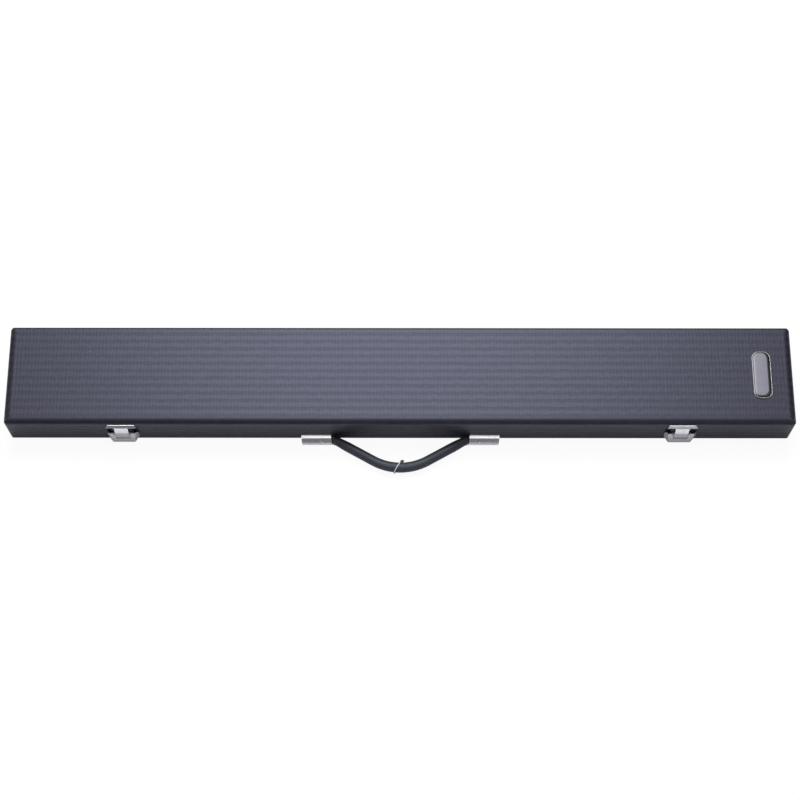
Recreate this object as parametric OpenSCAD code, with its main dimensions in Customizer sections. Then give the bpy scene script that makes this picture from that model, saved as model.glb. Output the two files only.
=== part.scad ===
// Hard case for a two-piece cue: a vinyl-covered wooden box with a hinged lid,
// two draw latches, a swinging carrying handle and foam cradles inside.
// X runs along the case, the front with the latches faces -Y, and Z is up.
// The origin is the centre of the underside.

/* [Case] */
// Length of the closed case
case_l = 800; // [640:5:1300]
// Depth of the case from its front face to its back face
case_w = 105; // [96:1:160]
// Height of the closed case without the badge
case_h = 47; // [46:1:80]
// Height of the base up to the parting line
base_h = 29; // [27:1:30]
// Open gap between the lid's rim and the base's rim
rim_gap = 0.4; // [0.2:0.1:1]
// Radius of the four upright corners
corner_r = 3.5; // [3:0.5:6.5]
// Radius of the lid's top edges
top_edge_r = 5; // [3:0.5:5]
// Radius of the base's bottom edges
bottom_edge_r = 4; // [2:0.5:4]

/* [Box and covering] */
// Thickness of the wooden walls
wall_t = 6.5; // [6:0.1:8]
// Thickness of the base's bottom panel
base_panel_t = 4; // [3.5:0.1:6]
// Thickness of the lid's top panel
lid_panel_t = 4.5; // [4.3:0.1:6]
// Thickness of the vinyl covering
vinyl_t = 0.8; // [0.5:0.1:1.2]
// Thickness of the felt lining
lining_t = 1; // [0.5:0.1:2]

/* [Inside] */
// Width of the lane for the cue's butt
butt_lane = 32; // [26:1:34]
// Width of the lane for the cue's shaft
shaft_lane = 22; // [14:1:24]
// Width of the lane for an extension
extension_lane = 20; // [14:1:22]
// Length of one foam cradle
cradle_l = 70; // [30:1:120]
// Distance from an end wall to the nearest cradle
cradle_inset = 45; // [20:1:120]
// Foam left under the lanes
cradle_floor = 1.2; // [1:0.1:3]
// How far the cradles stay below the base's rim
cradle_drop = 2; // [1:0.5:6]
// Thickness of the padded panel in the lid
pad_t = 3; // [2:0.5:4]
// Gap round the padded panel
pad_gap = 1.5; // [0.5:0.5:5]

/* [Hinges] */
// Distance between neighbouring hinges
hinge_pitch = 290; // [150:1:300]
// Length of one hinge
hinge_w = 36; // [24:1:60]
// Height of one hinge leaf, from the pin's axis
leaf_h = 12; // [10:0.5:14]
// Thickness of the hinge leaves
leaf_t = 1; // [0.8:0.1:1.4]
// Radius of the hinge knuckles
knuckle_r = 2.4; // [2:0.1:3]
// Radius of the hinge pins
hinge_pin_r = 1; // [0.8:0.1:1.4]

/* [Latches] */
// Half the distance between the two latches
latch_x = 284; // [150:1:300]
// How far both latches sit to the right of the middle
latch_shift = 1.8; // [-5:0.1:5]
// Width of the hook
hook_w = 14; // [10:0.5:18]
// Thickness of the hook's sheet
hook_t = 1.1; // [0.8:0.1:1.2]
// Front sheet of the lever beside the hook, on each side
lever_margin = 4; // [3:0.25:5]
// How far each flank of the lever slopes out to its back edge
flank_spread = 5.2; // [3.5:0.1:6]
// How far each flank draws in again at the lever's foot
foot_taper = 4; // [2:0.5:4.5]
// Height of the part of the flanks that draws in
foot_rise = 5; // [3:0.5:8]
// Length of the lever below its pivot
lever_l = 16; // [13:0.5:17]
// Thickness of the lever's sheet
lever_t = 1; // [0.8:0.1:1.2]
// Thickness of the back plate, the ears and the keeper
plate_t = 0.8; // [0.6:0.1:1]
// How much narrower the keeper's hood is along its top, on each side
hood_taper = 2; // [0:0.5:4]
// Radius of the latch pins
latch_pin_r = 1; // [0.8:0.1:1.1]
// How far the lever swings open, in degrees
lever_swing = 90; // [60:5:90]

/* [Handle] */
// How far the handle sits to the right of the middle
handle_shift = 0.5; // [-5:0.1:5]
// Distance from the handle's middle to the inner end of each bracket
bracket_x = 69; // [55:1:90]
// Length of each bracket
bracket_l = 32.5; // [26:0.5:40]
// Radius of the bracket's round front
bracket_r = 3.2; // [3:0.1:3.6]
// Wall of the bracket in front of the pivot
bracket_wall = 2.2; // [2:0.1:2.6]
// Slant of the bracket's ends, top against bottom
bracket_slant = 2; // [0:0.5:3]
// Height of the handle's pivot above the underside
pivot_z = 8.6; // [8.5:0.1:14]
// Radius of the pivot ends inside the brackets
trunnion_r = 1.6; // [1.4:0.1:1.8]
// Length of the pivot ends inside the brackets
trunnion_l = 7.5; // [5:0.5:8]
// Radius of the grip in its middle
grip_r = 5.2; // [4.4:0.1:6]
// Radius of the grip's necks
neck_r = 4.5; // [3.8:0.1:5.2]
// Slope of the grip's straight stretches, in degrees
grip_slope = 29; // [20:0.5:35]
// Bend radius of the grip's middle
bow_r = 57; // [30:1:65]
// Bend radius of the necks
neck_bend_r = 10; // [8:1:30]
// Diameter of the wire tie round the grip
tie_d = 1.2; // [0.8:0.1:1.4]

/* [Badge] */
// Length of the badge, across the lid
badge_l = 51; // [30:1:70]
// Width of the badge, along the lid
badge_w = 19; // [12:1:30]
// Radius of the badge's corners
badge_r = 7.5; // [3:0.5:7.5]
// Distance from the case's right end to the middle of the badge
badge_inset = 32; // [25:1:200]
// Width of the badge's rim
badge_rim = 1.3; // [0.8:0.1:3]
// Height of the badge's rim above the lid
badge_h = 1.4; // [0.8:0.1:2]

/* [Hidden] */
$fn = 64;

// Clearances: a running fit on a pin, a glued or riveted fit, and free air between moving sheets
run_fit = 0.08;
set_fit = 0.05;
free_gap = 0.4;
// How far a cutting shape runs past what it cuts
past = 1;

// Box: distance of the wood's faces and of the lining's faces from the outside
wood_in = vinyl_t;
wall_in = vinyl_t + wall_t;
lining_in = wall_in + lining_t;
inside_l = case_l - 2 * lining_in;
inside_w = case_w - 2 * lining_in;
base_wood_z = vinyl_t + base_panel_t;
base_rim_z = base_h - vinyl_t;
lid_z = base_h + rim_gap;
lid_rim_z = lid_z + vinyl_t;
lid_wood_z = case_h - vinyl_t - lid_panel_t;

// Cradles: three lanes side by side with equal ribs between them
lanes = [butt_lane, shaft_lane, extension_lane];
lane_rib = (inside_w - butt_lane - shaft_lane - extension_lane) / (len(lanes) + 1);
cradle_z = base_wood_z + lining_t;
cradle_top = base_h - cradle_drop;
cradle_x = inside_l / 2 - cradle_inset - cradle_l / 2;

// Hinges: the pin's axis lies just outside the back face, level with the parting line
hinge_out = knuckle_r + free_gap / 2;
hinge_z = base_h + rim_gap / 2;
hinge_xs = [-hinge_pitch, 0, hinge_pitch];
knuckle_l = (hinge_w - 2 * free_gap) / 3;
leaf_edge = knuckle_r + free_gap;
hinge_rivet_z = (leaf_h + leaf_edge) / 2;
hinge_rivet_x = hinge_w / 3;

// Rivets of the hinges and latches
rivet_head_r = 1.9;
rivet_head_h = 0.7;
rivet_shank_r = 1.1;
rivet_bite = 4;

// Latches: their places, then the pivot and the link pin as distances out from the front face and heights
latch_xs = [latch_shift - latch_x, latch_shift + latch_x];
lever_pivot_out = 3.3;
lever_pivot_drop = 3.5;
lever_pivot_z = base_h - lever_pivot_drop;
link_out = 3.2;
link_drop = 6.5;
link_z = lever_pivot_z - link_drop;

// Lever: widths across its front and back, then its side view, head trimmed to turn clear of the plate
lever_front_w = hook_w + 2 * lever_margin;
lever_w = lever_front_w + 2 * flank_spread;
lever_foot_w = lever_w - 2 * foot_taper;
lever_head = 2;
lever_top_z = lever_pivot_z + lever_head;
lever_foot_z = lever_pivot_z - lever_l;
lever_back = plate_t + free_gap;
lever_head_out = 4.1;
lever_foot_out = 6.6;
lever_crown = [lever_pivot_out - 1, lever_top_z];
lever_nape = [lever_pivot_out - 1.8, lever_pivot_z - 0.5];
lever_shoulder = [lever_back, lever_pivot_z - 3];

// Ears of the back plate and the lever's ribs beside them
ear_gap = 0.35;
ear_in = hook_w / 2 + ear_gap;
ear_r = 1.6;
rib_t = 1.4;
rib_in = ear_in + plate_t + free_gap;
rib_out = rib_in + rib_t;
rib_bore = rib_out + 0.15;
rib_below = 2.4;

// Back plate
plate_margin = 4.25;
latch_plate_w = hook_w + 2 * plate_margin;
latch_plate_z = lever_foot_z - 0.7;
latch_plate_top = base_h - 0.8;
latch_rivet_x = ear_in;
latch_rivet_z = lever_foot_z + 3;

// Hook: its barrel, the gap beside it, its front in line with the lever's and the nose over the keeper's lip
barrel_r = 2;
hook_gap = 0.25;
hook_out = 4.2;
hook_knee_z = base_h + 1;
hook_lean = 1.1;
hook_swell = 0.35;
nose_in = 1.2;
nose_low_z = lid_z + 8.8;
nose_top_z = nose_low_z + hook_t;
notch_z = link_z - barrel_r - free_gap;

// Keeper: plate, lip under the nose and sloped hood over it
keeper_low_z = lid_z + 2.2;
keeper_top_z = lid_z + 12.6;
keeper_margin = 2.25;
keeper_plate_w = hook_w + 2 * keeper_margin;
lip_t = 1.2;
lip_out = 1.8;
hood_w = lever_w - 1.2;
hood_top_w = hood_w - 2 * hood_taper;
hood_out = 2.8;
hood_edge = 0.7;
hood_low_z = nose_top_z + free_gap;
keeper_rivet_x = keeper_plate_w / 2 - rivet_head_r - 1;
keeper_rivet_z = keeper_low_z + 2.4;

// Handle: the pivot lets the necks turn clear of the front face, and the brackets close over it
pivot_out = neck_r + free_gap;
bracket_out = pivot_out + trunnion_r + run_fit + bracket_wall;
bracket_sag = 1.2;
bracket_rise = 4.4;
bracket_low = pivot_z - bracket_sag - bracket_r;
bracket_high = pivot_z + bracket_rise;
bracket_edge = 0.3;
shoulder_r = 0.6;
shoulder_drop = 1.45;
shoulder_out = 0.7 * pivot_out;

// Centreline of the grip in its own plane, from the bracket to the middle
neck_x = bracket_x - free_gap;
bow_end = [bow_r * sin(grip_slope), bow_r * (1 - cos(grip_slope))];
neck_end = [neck_x - neck_bend_r * sin(grip_slope), neck_bend_r * (1 - cos(grip_slope))];
straight_l = (neck_end[0] - bow_end[0]) / cos(grip_slope);
bow_depth = bow_end[1] + neck_end[1] + straight_l * sin(grip_slope);
// The straight stretches are a little slimmer than the bends they run into
grip_step = 0.15;
floor_gap = 0.3;
tie_reach = grip_r + set_fit + tie_d;
droop = asin((pivot_z - tie_reach - floor_gap) / bow_depth);

// Rivets of the brackets: round heads that stand out of the sloped top, washers sunk into the wall
handle_rivet_gap = 4.5;
handle_rivet_x = bracket_x + trunnion_l + handle_rivet_gap;
handle_rivet_z = pivot_z + 1.3;
handle_rivet_out = pivot_out + 1;
handle_head_r = 1.6;
handle_shank_r = 1.2;
washer_r = min(4.4, handle_rivet_z - base_wood_z - 2 * set_fit);
washer_t = 1;

// Tie: its place round the bow, in degrees from the middle, and its twisted end
tie_turn = 3;
tie_nub_l = 2.4;

// Badge: its plate lies a little below its rim
badge_x = case_l / 2 - badge_inset;
badge_sink = 0.4;
badge_plate_h = badge_h - badge_sink;

// Colours of the finishes
vinyl_colour = [0.12, 0.13, 0.15];
wood_colour = [0.72, 0.56, 0.38];
felt_colour = [0.16, 0.17, 0.22];
foam_colour = [0.2, 0.2, 0.22];
steel_colour = [0.78, 0.78, 0.8];
grip_colour = [0.1, 0.1, 0.12];
plate_colour = [0.6, 0.6, 0.67];

// A flat shape in the (outward, up) plane, stretched along the case
module along_x(x0, x1) {
    translate([x0, 0, 0])
        rotate([90, 0, 90])
            linear_extrude(x1 - x0) children();
}

// A flat shape in the (along, up) plane, stretched outwards
module along_out(y0, y1) {
    translate([0, y1, 0])
        rotate([90, 0, 0])
            linear_extrude(y1 - y0) children();
}

// Places what is drawn as (along, outward, up) on the front face
module on_front(x) {
    translate([x, -case_w / 2, 0])
        mirror([0, 1, 0]) children();
}

// Places what is drawn as (along, outward, up) on the back face
module on_back(x) {
    translate([x, case_w / 2, 0]) children();
}

// A bar along X at (outward, up)
module bar_x(x0, x1, out, z, r) {
    translate([x0, out, z])
        rotate([0, 90, 0]) cylinder(r = r, h = x1 - x0);
}

// A rod pointing outwards at (along, up)
module rod_out(x, z, y0, y1, r) {
    translate([x, y0, z])
        rotate([-90, 0, 0]) cylinder(r = r, h = y1 - y0);
}

// A domed rivet that points outwards, with its head's flat side at out = seat
module rivet(x, z, seat, head_r, head_h, shank_r, tip) {
    ball_r = (head_r * head_r + head_h * head_h) / (2 * head_h);
    intersection() {
        translate([x, seat + head_h - ball_r, z]) sphere(ball_r);
        rod_out(x, z, seat, seat + head_h + past, head_r + past);
    }
    rod_out(x, z, tip, seat + head_h / 2, shank_r);
}

module fitting_rivet(x, z, seat) {
    rivet(x, z, seat, rivet_head_r, rivet_head_h, rivet_shank_r, -rivet_bite);
}

module fitting_rivet_hole(x, z) {
    rod_out(x, z, -rivet_bite - set_fit, plate_t + leaf_t + past, rivet_shank_r + set_fit);
}

// Case box

module plan_shape(inset) {
    l = case_l - 2 * inset;
    w = case_w - 2 * inset;
    r = corner_r - inset;
    square([l - 2 * r, w], center = true);
    square([l, w - 2 * r], center = true);
    for (sx = [-1, 1], sy = [-1, 1])
        translate([sx * (l / 2 - r), sy * (w / 2 - r)]) circle(r);
}

module edge_shape(width, inset) {
    w = width - 2 * inset;
    low = bottom_edge_r - inset;
    high = top_edge_r - inset;
    translate([-w / 2, bottom_edge_r]) square([w, case_h - bottom_edge_r - top_edge_r]);
    translate([-w / 2 + low, inset]) square([w - 2 * low, case_h / 2 - inset]);
    translate([-w / 2 + high, case_h / 2]) square([w - 2 * high, case_h / 2 - inset]);
    for (s = [-1, 1]) {
        translate([s * (w / 2 - low), bottom_edge_r]) circle(low);
        translate([s * (w / 2 - high), case_h - top_edge_r]) circle(high);
    }
}

// The whole closed case, shrunk by inset on every side
module case_block(inset) {
    intersection() {
        linear_extrude(case_h) plan_shape(inset);
        along_x(-case_l, case_l) edge_shape(case_w, inset);
        along_out(-case_w, case_w) edge_shape(case_l, inset);
    }
}

module slab(z0, z1) {
    translate([-case_l, -case_w, z0]) cube([2 * case_l, 2 * case_w, z1 - z0]);
}

// A box centred on the case's middle, a set distance inside its outside faces
module inner_box(inset, z0, z1) {
    translate([-case_l / 2 + inset, -case_w / 2 + inset, z0])
        cube([case_l - 2 * inset, case_w - 2 * inset, z1 - z0]);
}

// side is -1 for the front wall and 1 for the back wall
module long_wall(side, z0, z1) {
    intersection() {
        case_block(wood_in);
        translate([-case_l / 2, side * (case_w - wall_in) / 2 - wall_in / 2, z0])
            cube([case_l, wall_in, z1 - z0]);
    }
}

module end_wall(side, z0, z1) {
    translate([side * (case_l / 2 - vinyl_t - wall_t / 2) - wall_t / 2, -case_w / 2 + wall_in, z0])
        cube([wall_t, case_w - 2 * wall_in, z1 - z0]);
}

module base_front_holes() {
    for (x = latch_xs)
        on_front(x)
            for (t = [-1, 1]) fitting_rivet_hole(t * latch_rivet_x, latch_rivet_z);
    for (s = [-1, 1])
        on_front(handle_shift + s * handle_rivet_x) {
            rod_out(0, handle_rivet_z, -wall_in - past, past, handle_shank_r + set_fit);
            rod_out(0, handle_rivet_z, -wall_in - past, -wall_in + washer_t + set_fit, washer_r + set_fit);
        }
}

module lid_front_holes() {
    for (x = latch_xs)
        on_front(x)
            for (t = [-1, 1]) fitting_rivet_hole(t * keeper_rivet_x, keeper_rivet_z);
}

// side is -1 for the base leaves and 1 for the lid leaves
module hinge_holes(side) {
    for (x = hinge_xs)
        on_back(x)
            for (t = [-1, 1]) fitting_rivet_hole(t * hinge_rivet_x, hinge_z + side * hinge_rivet_z);
}

module base_bottom_panel() {
    color(wood_colour)
        intersection() {
            case_block(wood_in);
            slab(0, base_wood_z);
        }
}

module base_front_wall() {
    color(wood_colour)
        difference() {
            long_wall(-1, base_wood_z, base_rim_z);
            base_front_holes();
        }
}

module base_back_wall() {
    color(wood_colour)
        difference() {
            long_wall(1, base_wood_z, base_rim_z);
            hinge_holes(-1);
        }
}

module base_end(side) {
    color(wood_colour) end_wall(side, base_wood_z, base_rim_z);
}

module base_cover_bottom() {
    color(vinyl_colour)
        difference() {
            intersection() {
                case_block(0);
                slab(0, bottom_edge_r);
            }
            case_block(wood_in);
        }
}

// Side covering of the base, turned in over the rim
module base_cover_band() {
    color(vinyl_colour)
        difference() {
            intersection() {
                case_block(0);
                slab(bottom_edge_r, base_h);
            }
            intersection() {
                case_block(wood_in);
                slab(0, base_rim_z);
            }
            inner_box(lining_in, base_rim_z - past, base_h + past);
            base_front_holes();
            hinge_holes(-1);
        }
}

module base_lining() {
    color(felt_colour)
        difference() {
            inner_box(wall_in, base_wood_z, base_rim_z);
            inner_box(lining_in, base_wood_z + lining_t, base_rim_z + past);
        }
}

module lane_shape(width) {
    low = cradle_z + cradle_floor;
    translate([0, low + width / 2]) circle(d = width);
    translate([-width / 2, low + width / 2]) square([width, case_h]);
}

function lane_start(i) = i == 0 ? lane_rib : lane_start(i - 1) + lanes[i - 1] + lane_rib;

module cue_cradle(x) {
    color(foam_colour)
        difference() {
            translate([x - cradle_l / 2, -inside_w / 2, cradle_z])
                cube([cradle_l, inside_w, cradle_top - cradle_z]);
            for (i = [0 : len(lanes) - 1])
                translate([0, -inside_w / 2 + lane_start(i) + lanes[i] / 2, 0])
                    along_x(x - cradle_l / 2 - past, x + cradle_l / 2 + past) lane_shape(lanes[i]);
        }
}

// Lid

module lid_top_panel() {
    color(wood_colour)
        intersection() {
            case_block(wood_in);
            slab(lid_wood_z, case_h);
        }
}

module lid_front_wall() {
    color(wood_colour)
        difference() {
            long_wall(-1, lid_rim_z, lid_wood_z);
            lid_front_holes();
        }
}

module lid_back_wall() {
    color(wood_colour)
        difference() {
            long_wall(1, lid_rim_z, lid_wood_z);
            hinge_holes(1);
        }
}

module lid_end(side) {
    color(wood_colour) end_wall(side, lid_rim_z, lid_wood_z);
}

// Covering of the lid's top and sides, turned in over the rim
module lid_cover() {
    color(vinyl_colour)
        difference() {
            intersection() {
                case_block(0);
                slab(lid_z, case_h + past);
            }
            intersection() {
                case_block(wood_in);
                slab(lid_rim_z, case_h);
            }
            inner_box(lining_in, lid_z - past, lid_rim_z + past);
            lid_front_holes();
            hinge_holes(1);
        }
}

module lid_lining() {
    color(felt_colour)
        difference() {
            inner_box(wall_in, lid_rim_z, lid_wood_z);
            inner_box(lining_in, lid_rim_z - past, lid_wood_z - lining_t);
        }
}

module lid_pad() {
    color(felt_colour)
        inner_box(lining_in + pad_gap, lid_wood_z - lining_t - pad_t, lid_wood_z - lining_t);
}

module badge_shape(inset) {
    reach_x = badge_w / 2 - badge_r;
    reach_y = badge_l / 2 - badge_r;
    hull()
        for (sx = [-1, 1], sy = [-1, 1])
            translate([sx * reach_x, sy * reach_y]) circle(badge_r - inset);
}

module badge_frame() {
    color(steel_colour)
        translate([badge_x, 0, case_h])
            linear_extrude(badge_h)
                difference() {
                    badge_shape(0);
                    badge_shape(badge_rim);
                }
}

module badge_plate() {
    color(plate_colour)
        translate([badge_x, 0, case_h])
            linear_extrude(badge_plate_h) badge_shape(badge_rim + set_fit);
}

// Hinges

// side is -1 for the base leaf and 1 for the lid leaf; starts are where its knuckles begin
module hinge_leaf(x, side, starts, bore_r) {
    color(steel_colour)
        on_back(x)
            difference() {
                union() {
                    translate([-hinge_w / 2, 0, hinge_z + (side < 0 ? -leaf_h : leaf_edge)])
                        cube([hinge_w, leaf_t, leaf_h - leaf_edge]);
                    for (start = starts) {
                        translate([start, 0, hinge_z + (side < 0 ? -leaf_h : 0)])
                            cube([knuckle_l, leaf_t, leaf_h]);
                        bar_x(start, start + knuckle_l, hinge_out, hinge_z, knuckle_r);
                    }
                }
                bar_x(-hinge_w, hinge_w, hinge_out, hinge_z, bore_r);
                for (t = [-1, 1])
                    fitting_rivet_hole(t * hinge_rivet_x, hinge_z + side * hinge_rivet_z);
            }
}

module hinge_base_leaf(x) {
    hinge_leaf(x, -1, [-hinge_w / 2, hinge_w / 2 - knuckle_l], hinge_pin_r + set_fit);
}

module hinge_lid_leaf(x) {
    hinge_leaf(x, 1, [-knuckle_l / 2], hinge_pin_r + run_fit);
}

module hinge_pin(x) {
    head_l = 0.5;
    head_r = hinge_pin_r + 0.6;
    color(steel_colour)
        on_back(x) {
            bar_x(-hinge_w / 2, hinge_w / 2, hinge_out, hinge_z, hinge_pin_r);
            for (start = [-hinge_w / 2 - head_l, hinge_w / 2])
                bar_x(start, start + head_l, hinge_out, hinge_z, head_r);
        }
}

module hinge_rivets(side) {
    color(steel_colour)
        for (x = hinge_xs)
            on_back(x)
                for (t = [-1, 1]) fitting_rivet(t * hinge_rivet_x, hinge_z + side * hinge_rivet_z, leaf_t);
}

// Latches, each drawn as (along, outward, up) at its place on the front

module latch_plate(x) {
    color(steel_colour)
        on_front(x)
            difference() {
                union() {
                    translate([-latch_plate_w / 2, 0, latch_plate_z])
                        cube([latch_plate_w, plate_t, latch_plate_top - latch_plate_z]);
                    for (start = [ear_in, -ear_in - plate_t]) {
                        translate([start, 0, lever_pivot_z - ear_r])
                            cube([plate_t, lever_pivot_out, 2 * ear_r]);
                        bar_x(start, start + plate_t, lever_pivot_out, lever_pivot_z, ear_r);
                    }
                }
                bar_x(-lever_w, lever_w, lever_pivot_out, lever_pivot_z, latch_pin_r + set_fit);
                for (t = [-1, 1]) fitting_rivet_hole(t * latch_rivet_x, latch_rivet_z);
            }
}

// Two short pins for each latch, so that the hook passes between them
module latch_pivot_pins() {
    pin_in = ear_in - 0.1;
    color(steel_colour)
        for (x = latch_xs)
            on_front(x)
                for (start = [pin_in, -rib_out])
                    bar_x(start, start + rib_out - pin_in, lever_pivot_out, lever_pivot_z, latch_pin_r);
}

module latch_plate_rivets() {
    color(steel_colour)
        for (x = latch_xs)
            on_front(x)
                for (t = [-1, 1]) fitting_rivet(t * latch_rivet_x, latch_rivet_z, plate_t);
}

module lever_side() {
    polygon([
        [lever_head_out, lever_top_z],
        lever_crown,
        lever_nape,
        lever_shoulder,
        [lever_back, lever_foot_z],
        [lever_foot_out, lever_foot_z]
    ]);
}

// Block with sloped flanks that narrows towards its foot and its front, open at the back
module lever_flanks(inset) {
    half = lever_w / 2 - inset;
    foot = lever_foot_w / 2 - inset;
    front = lever_front_w / 2 - inset;
    intersection() {
        translate([0, 0, lever_foot_z - past])
            linear_extrude(lever_top_z - lever_foot_z + 2 * past)
                polygon([
                    [half, lever_back - past],
                    [half, lever_back],
                    [front, lever_foot_out],
                    [-front, lever_foot_out],
                    [-half, lever_back],
                    [-half, lever_back - past]
                ]);
        along_out(-past, lever_foot_out + past)
            polygon([
                [foot, lever_foot_z - past],
                [foot, lever_foot_z],
                [half, lever_foot_z + foot_rise],
                [half, lever_top_z + past],
                [-half, lever_top_z + past],
                [-half, lever_foot_z + foot_rise],
                [-foot, lever_foot_z],
                [-foot, lever_foot_z - past]
            ]);
    }
}

// The hollow behind the lever's front sheet
module lever_hollow() {
    intersection() {
        along_x(-lever_w, lever_w)
            polygon([
                [lever_head_out - lever_t, lever_top_z],
                [lever_head_out - lever_t, lever_top_z + past],
                [-past, lever_top_z + past],
                [-past, lever_foot_z + lever_t],
                [lever_foot_out - lever_t, lever_foot_z + lever_t]
            ]);
        lever_flanks(lever_t);
    }
}

// An opening cut down from the lever's head
module lever_notch(width, z) {
    translate([-width / 2, -past, z])
        cube([width, lever_foot_out + 2 * past, lever_top_z + past - z]);
}

// Two inner ribs that carry the pivot and the link pin
module lever_ribs() {
    for (start = [rib_in, -rib_out])
        intersection() {
            along_x(start, start + rib_out - rib_in)
                intersection() {
                    lever_side();
                    translate([0, link_z - rib_below]) square([2 * lever_foot_out, lever_l + lever_head]);
                }
            lever_flanks(0);
        }
}

module latch_lever(x) {
    color(steel_colour)
        on_front(x)
            difference() {
                union() {
                    difference() {
                        intersection() {
                            along_x(-lever_w / 2, lever_w / 2) lever_side();
                            lever_flanks(0);
                        }
                        lever_hollow();
                        lever_notch(hook_w + 2 * hook_gap, notch_z);
                        lever_notch(2 * rib_in, lever_pivot_z - ear_r - free_gap);
                    }
                    lever_ribs();
                }
                bar_x(-rib_bore, rib_bore, lever_pivot_out, lever_pivot_z, latch_pin_r + run_fit);
                bar_x(-rib_bore, rib_bore, link_out, link_z, latch_pin_r + set_fit);
            }
}

module latch_link_pin(x) {
    color(steel_colour)
        on_front(x) bar_x(-rib_out, rib_out, link_out, link_z, latch_pin_r);
}

// Side view of the hook: barrel, front that leans back above its knee, and nose turned in over the keeper's lip
module hook_side() {
    back = hook_out - hook_t;
    translate([link_out, link_z]) circle(barrel_r);
    polygon([
        [link_out + barrel_r, link_z],
        [hook_out + hook_swell, hook_knee_z],
        [hook_out - hook_lean, nose_top_z],
        [nose_in, nose_top_z],
        [nose_in, nose_low_z],
        [back - hook_lean, nose_low_z],
        [back, hook_knee_z],
        [back, link_z]
    ]);
}

module latch_hook(x) {
    color(steel_colour)
        on_front(x)
            difference() {
                along_x(-hook_w / 2, hook_w / 2) hook_side();
                bar_x(-hook_w, hook_w, link_out, link_z, latch_pin_r + run_fit);
            }
}

module keeper_hood() {
    intersection() {
        along_x(-hood_w / 2, hood_w / 2)
            polygon([
                [0, keeper_top_z],
                [0, keeper_top_z - plate_t],
                [plate_t, keeper_top_z - plate_t],
                [hood_out, hood_low_z],
                [hood_out, hood_low_z + hood_edge],
                [plate_t, keeper_top_z]
            ]);
        along_out(-past, hood_out + past)
            polygon([
                [hood_w / 2, hood_low_z],
                [hood_top_w / 2, keeper_top_z],
                [-hood_top_w / 2, keeper_top_z],
                [-hood_w / 2, hood_low_z]
            ]);
    }
}

module latch_keeper(x) {
    color(steel_colour)
        on_front(x)
            difference() {
                union() {
                    translate([-keeper_plate_w / 2, 0, keeper_low_z])
                        cube([keeper_plate_w, plate_t, keeper_top_z - keeper_low_z]);
                    translate([-keeper_plate_w / 2, 0, nose_low_z - free_gap - lip_t])
                        cube([keeper_plate_w, lip_out, lip_t]);
                    keeper_hood();
                }
                for (t = [-1, 1]) fitting_rivet_hole(t * keeper_rivet_x, keeper_rivet_z);
            }
}

module latch_keeper_rivets() {
    color(steel_colour)
        for (x = latch_xs)
            on_front(x)
                for (t = [-1, 1]) fitting_rivet(t * keeper_rivet_x, keeper_rivet_z, plate_t);
}

// Handle, drawn as (along, outward, up) on the front

module on_side(side) {
    mirror([side < 0 ? 1 : 0, 0, 0]) children();
}

// Side view of the bracket: a thin edge up the front face, a shoulder and a round front
module bracket_side() {
    hull() {
        translate([0, bracket_low + bracket_edge])
            square([bracket_edge, bracket_high - bracket_low - bracket_edge]);
        translate([shoulder_out, bracket_high - shoulder_drop]) circle(shoulder_r);
        translate([bracket_out - bracket_r, pivot_z - bracket_sag]) circle(bracket_r);
    }
}

// Front view of the bracket: both ends lean the same way
module bracket_front() {
    polygon([
        [bracket_x, bracket_low - past],
        [bracket_x, bracket_low],
        [bracket_x + bracket_slant, bracket_high],
        [bracket_x + bracket_slant, bracket_high + past],
        [bracket_x + bracket_l, bracket_high + past],
        [bracket_x + bracket_l, bracket_high],
        [bracket_x + bracket_l - bracket_slant, bracket_low],
        [bracket_x + bracket_l - bracket_slant, bracket_low - past]
    ]);
}

// A rivet with a ball for a head, gap bigger all round
module ball_rivet(x, gap) {
    translate([x, handle_rivet_out, handle_rivet_z]) sphere(handle_head_r + gap);
    rod_out(x, handle_rivet_z, -wall_in - (gap > 0 ? past : 0), handle_rivet_out, handle_shank_r + gap);
}

module handle_bracket(side) {
    color(steel_colour)
        on_front(handle_shift)
            on_side(side)
                difference() {
                    intersection() {
                        along_x(bracket_x - past, bracket_x + bracket_l + past) bracket_side();
                        along_out(-past, bracket_out + past) bracket_front();
                    }
                    bar_x(bracket_x - past, bracket_x + trunnion_l + free_gap,
                        pivot_out, pivot_z, trunnion_r + run_fit);
                    ball_rivet(handle_rivet_x, set_fit);
                }
}

module handle_rivets() {
    color(steel_colour)
        on_front(handle_shift)
            for (s = [-1, 1]) ball_rivet(s * handle_rivet_x, 0);
}

module handle_washers() {
    color(steel_colour)
        on_front(handle_shift)
            for (s = [-1, 1])
                difference() {
                    rod_out(s * handle_rivet_x, handle_rivet_z, -wall_in, -wall_in + washer_t, washer_r);
                    rod_out(s * handle_rivet_x, handle_rivet_z, -wall_in - past, past,
                        handle_shank_r + set_fit);
                }
}

// The handle's own plane: X along the case, Y out from the pivot's axis, lowered to rest above the floor
module handle_plane() {
    on_front(handle_shift)
        translate([0, pivot_out, pivot_z])
            rotate([-droop, 0, 0]) children();
}

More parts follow.
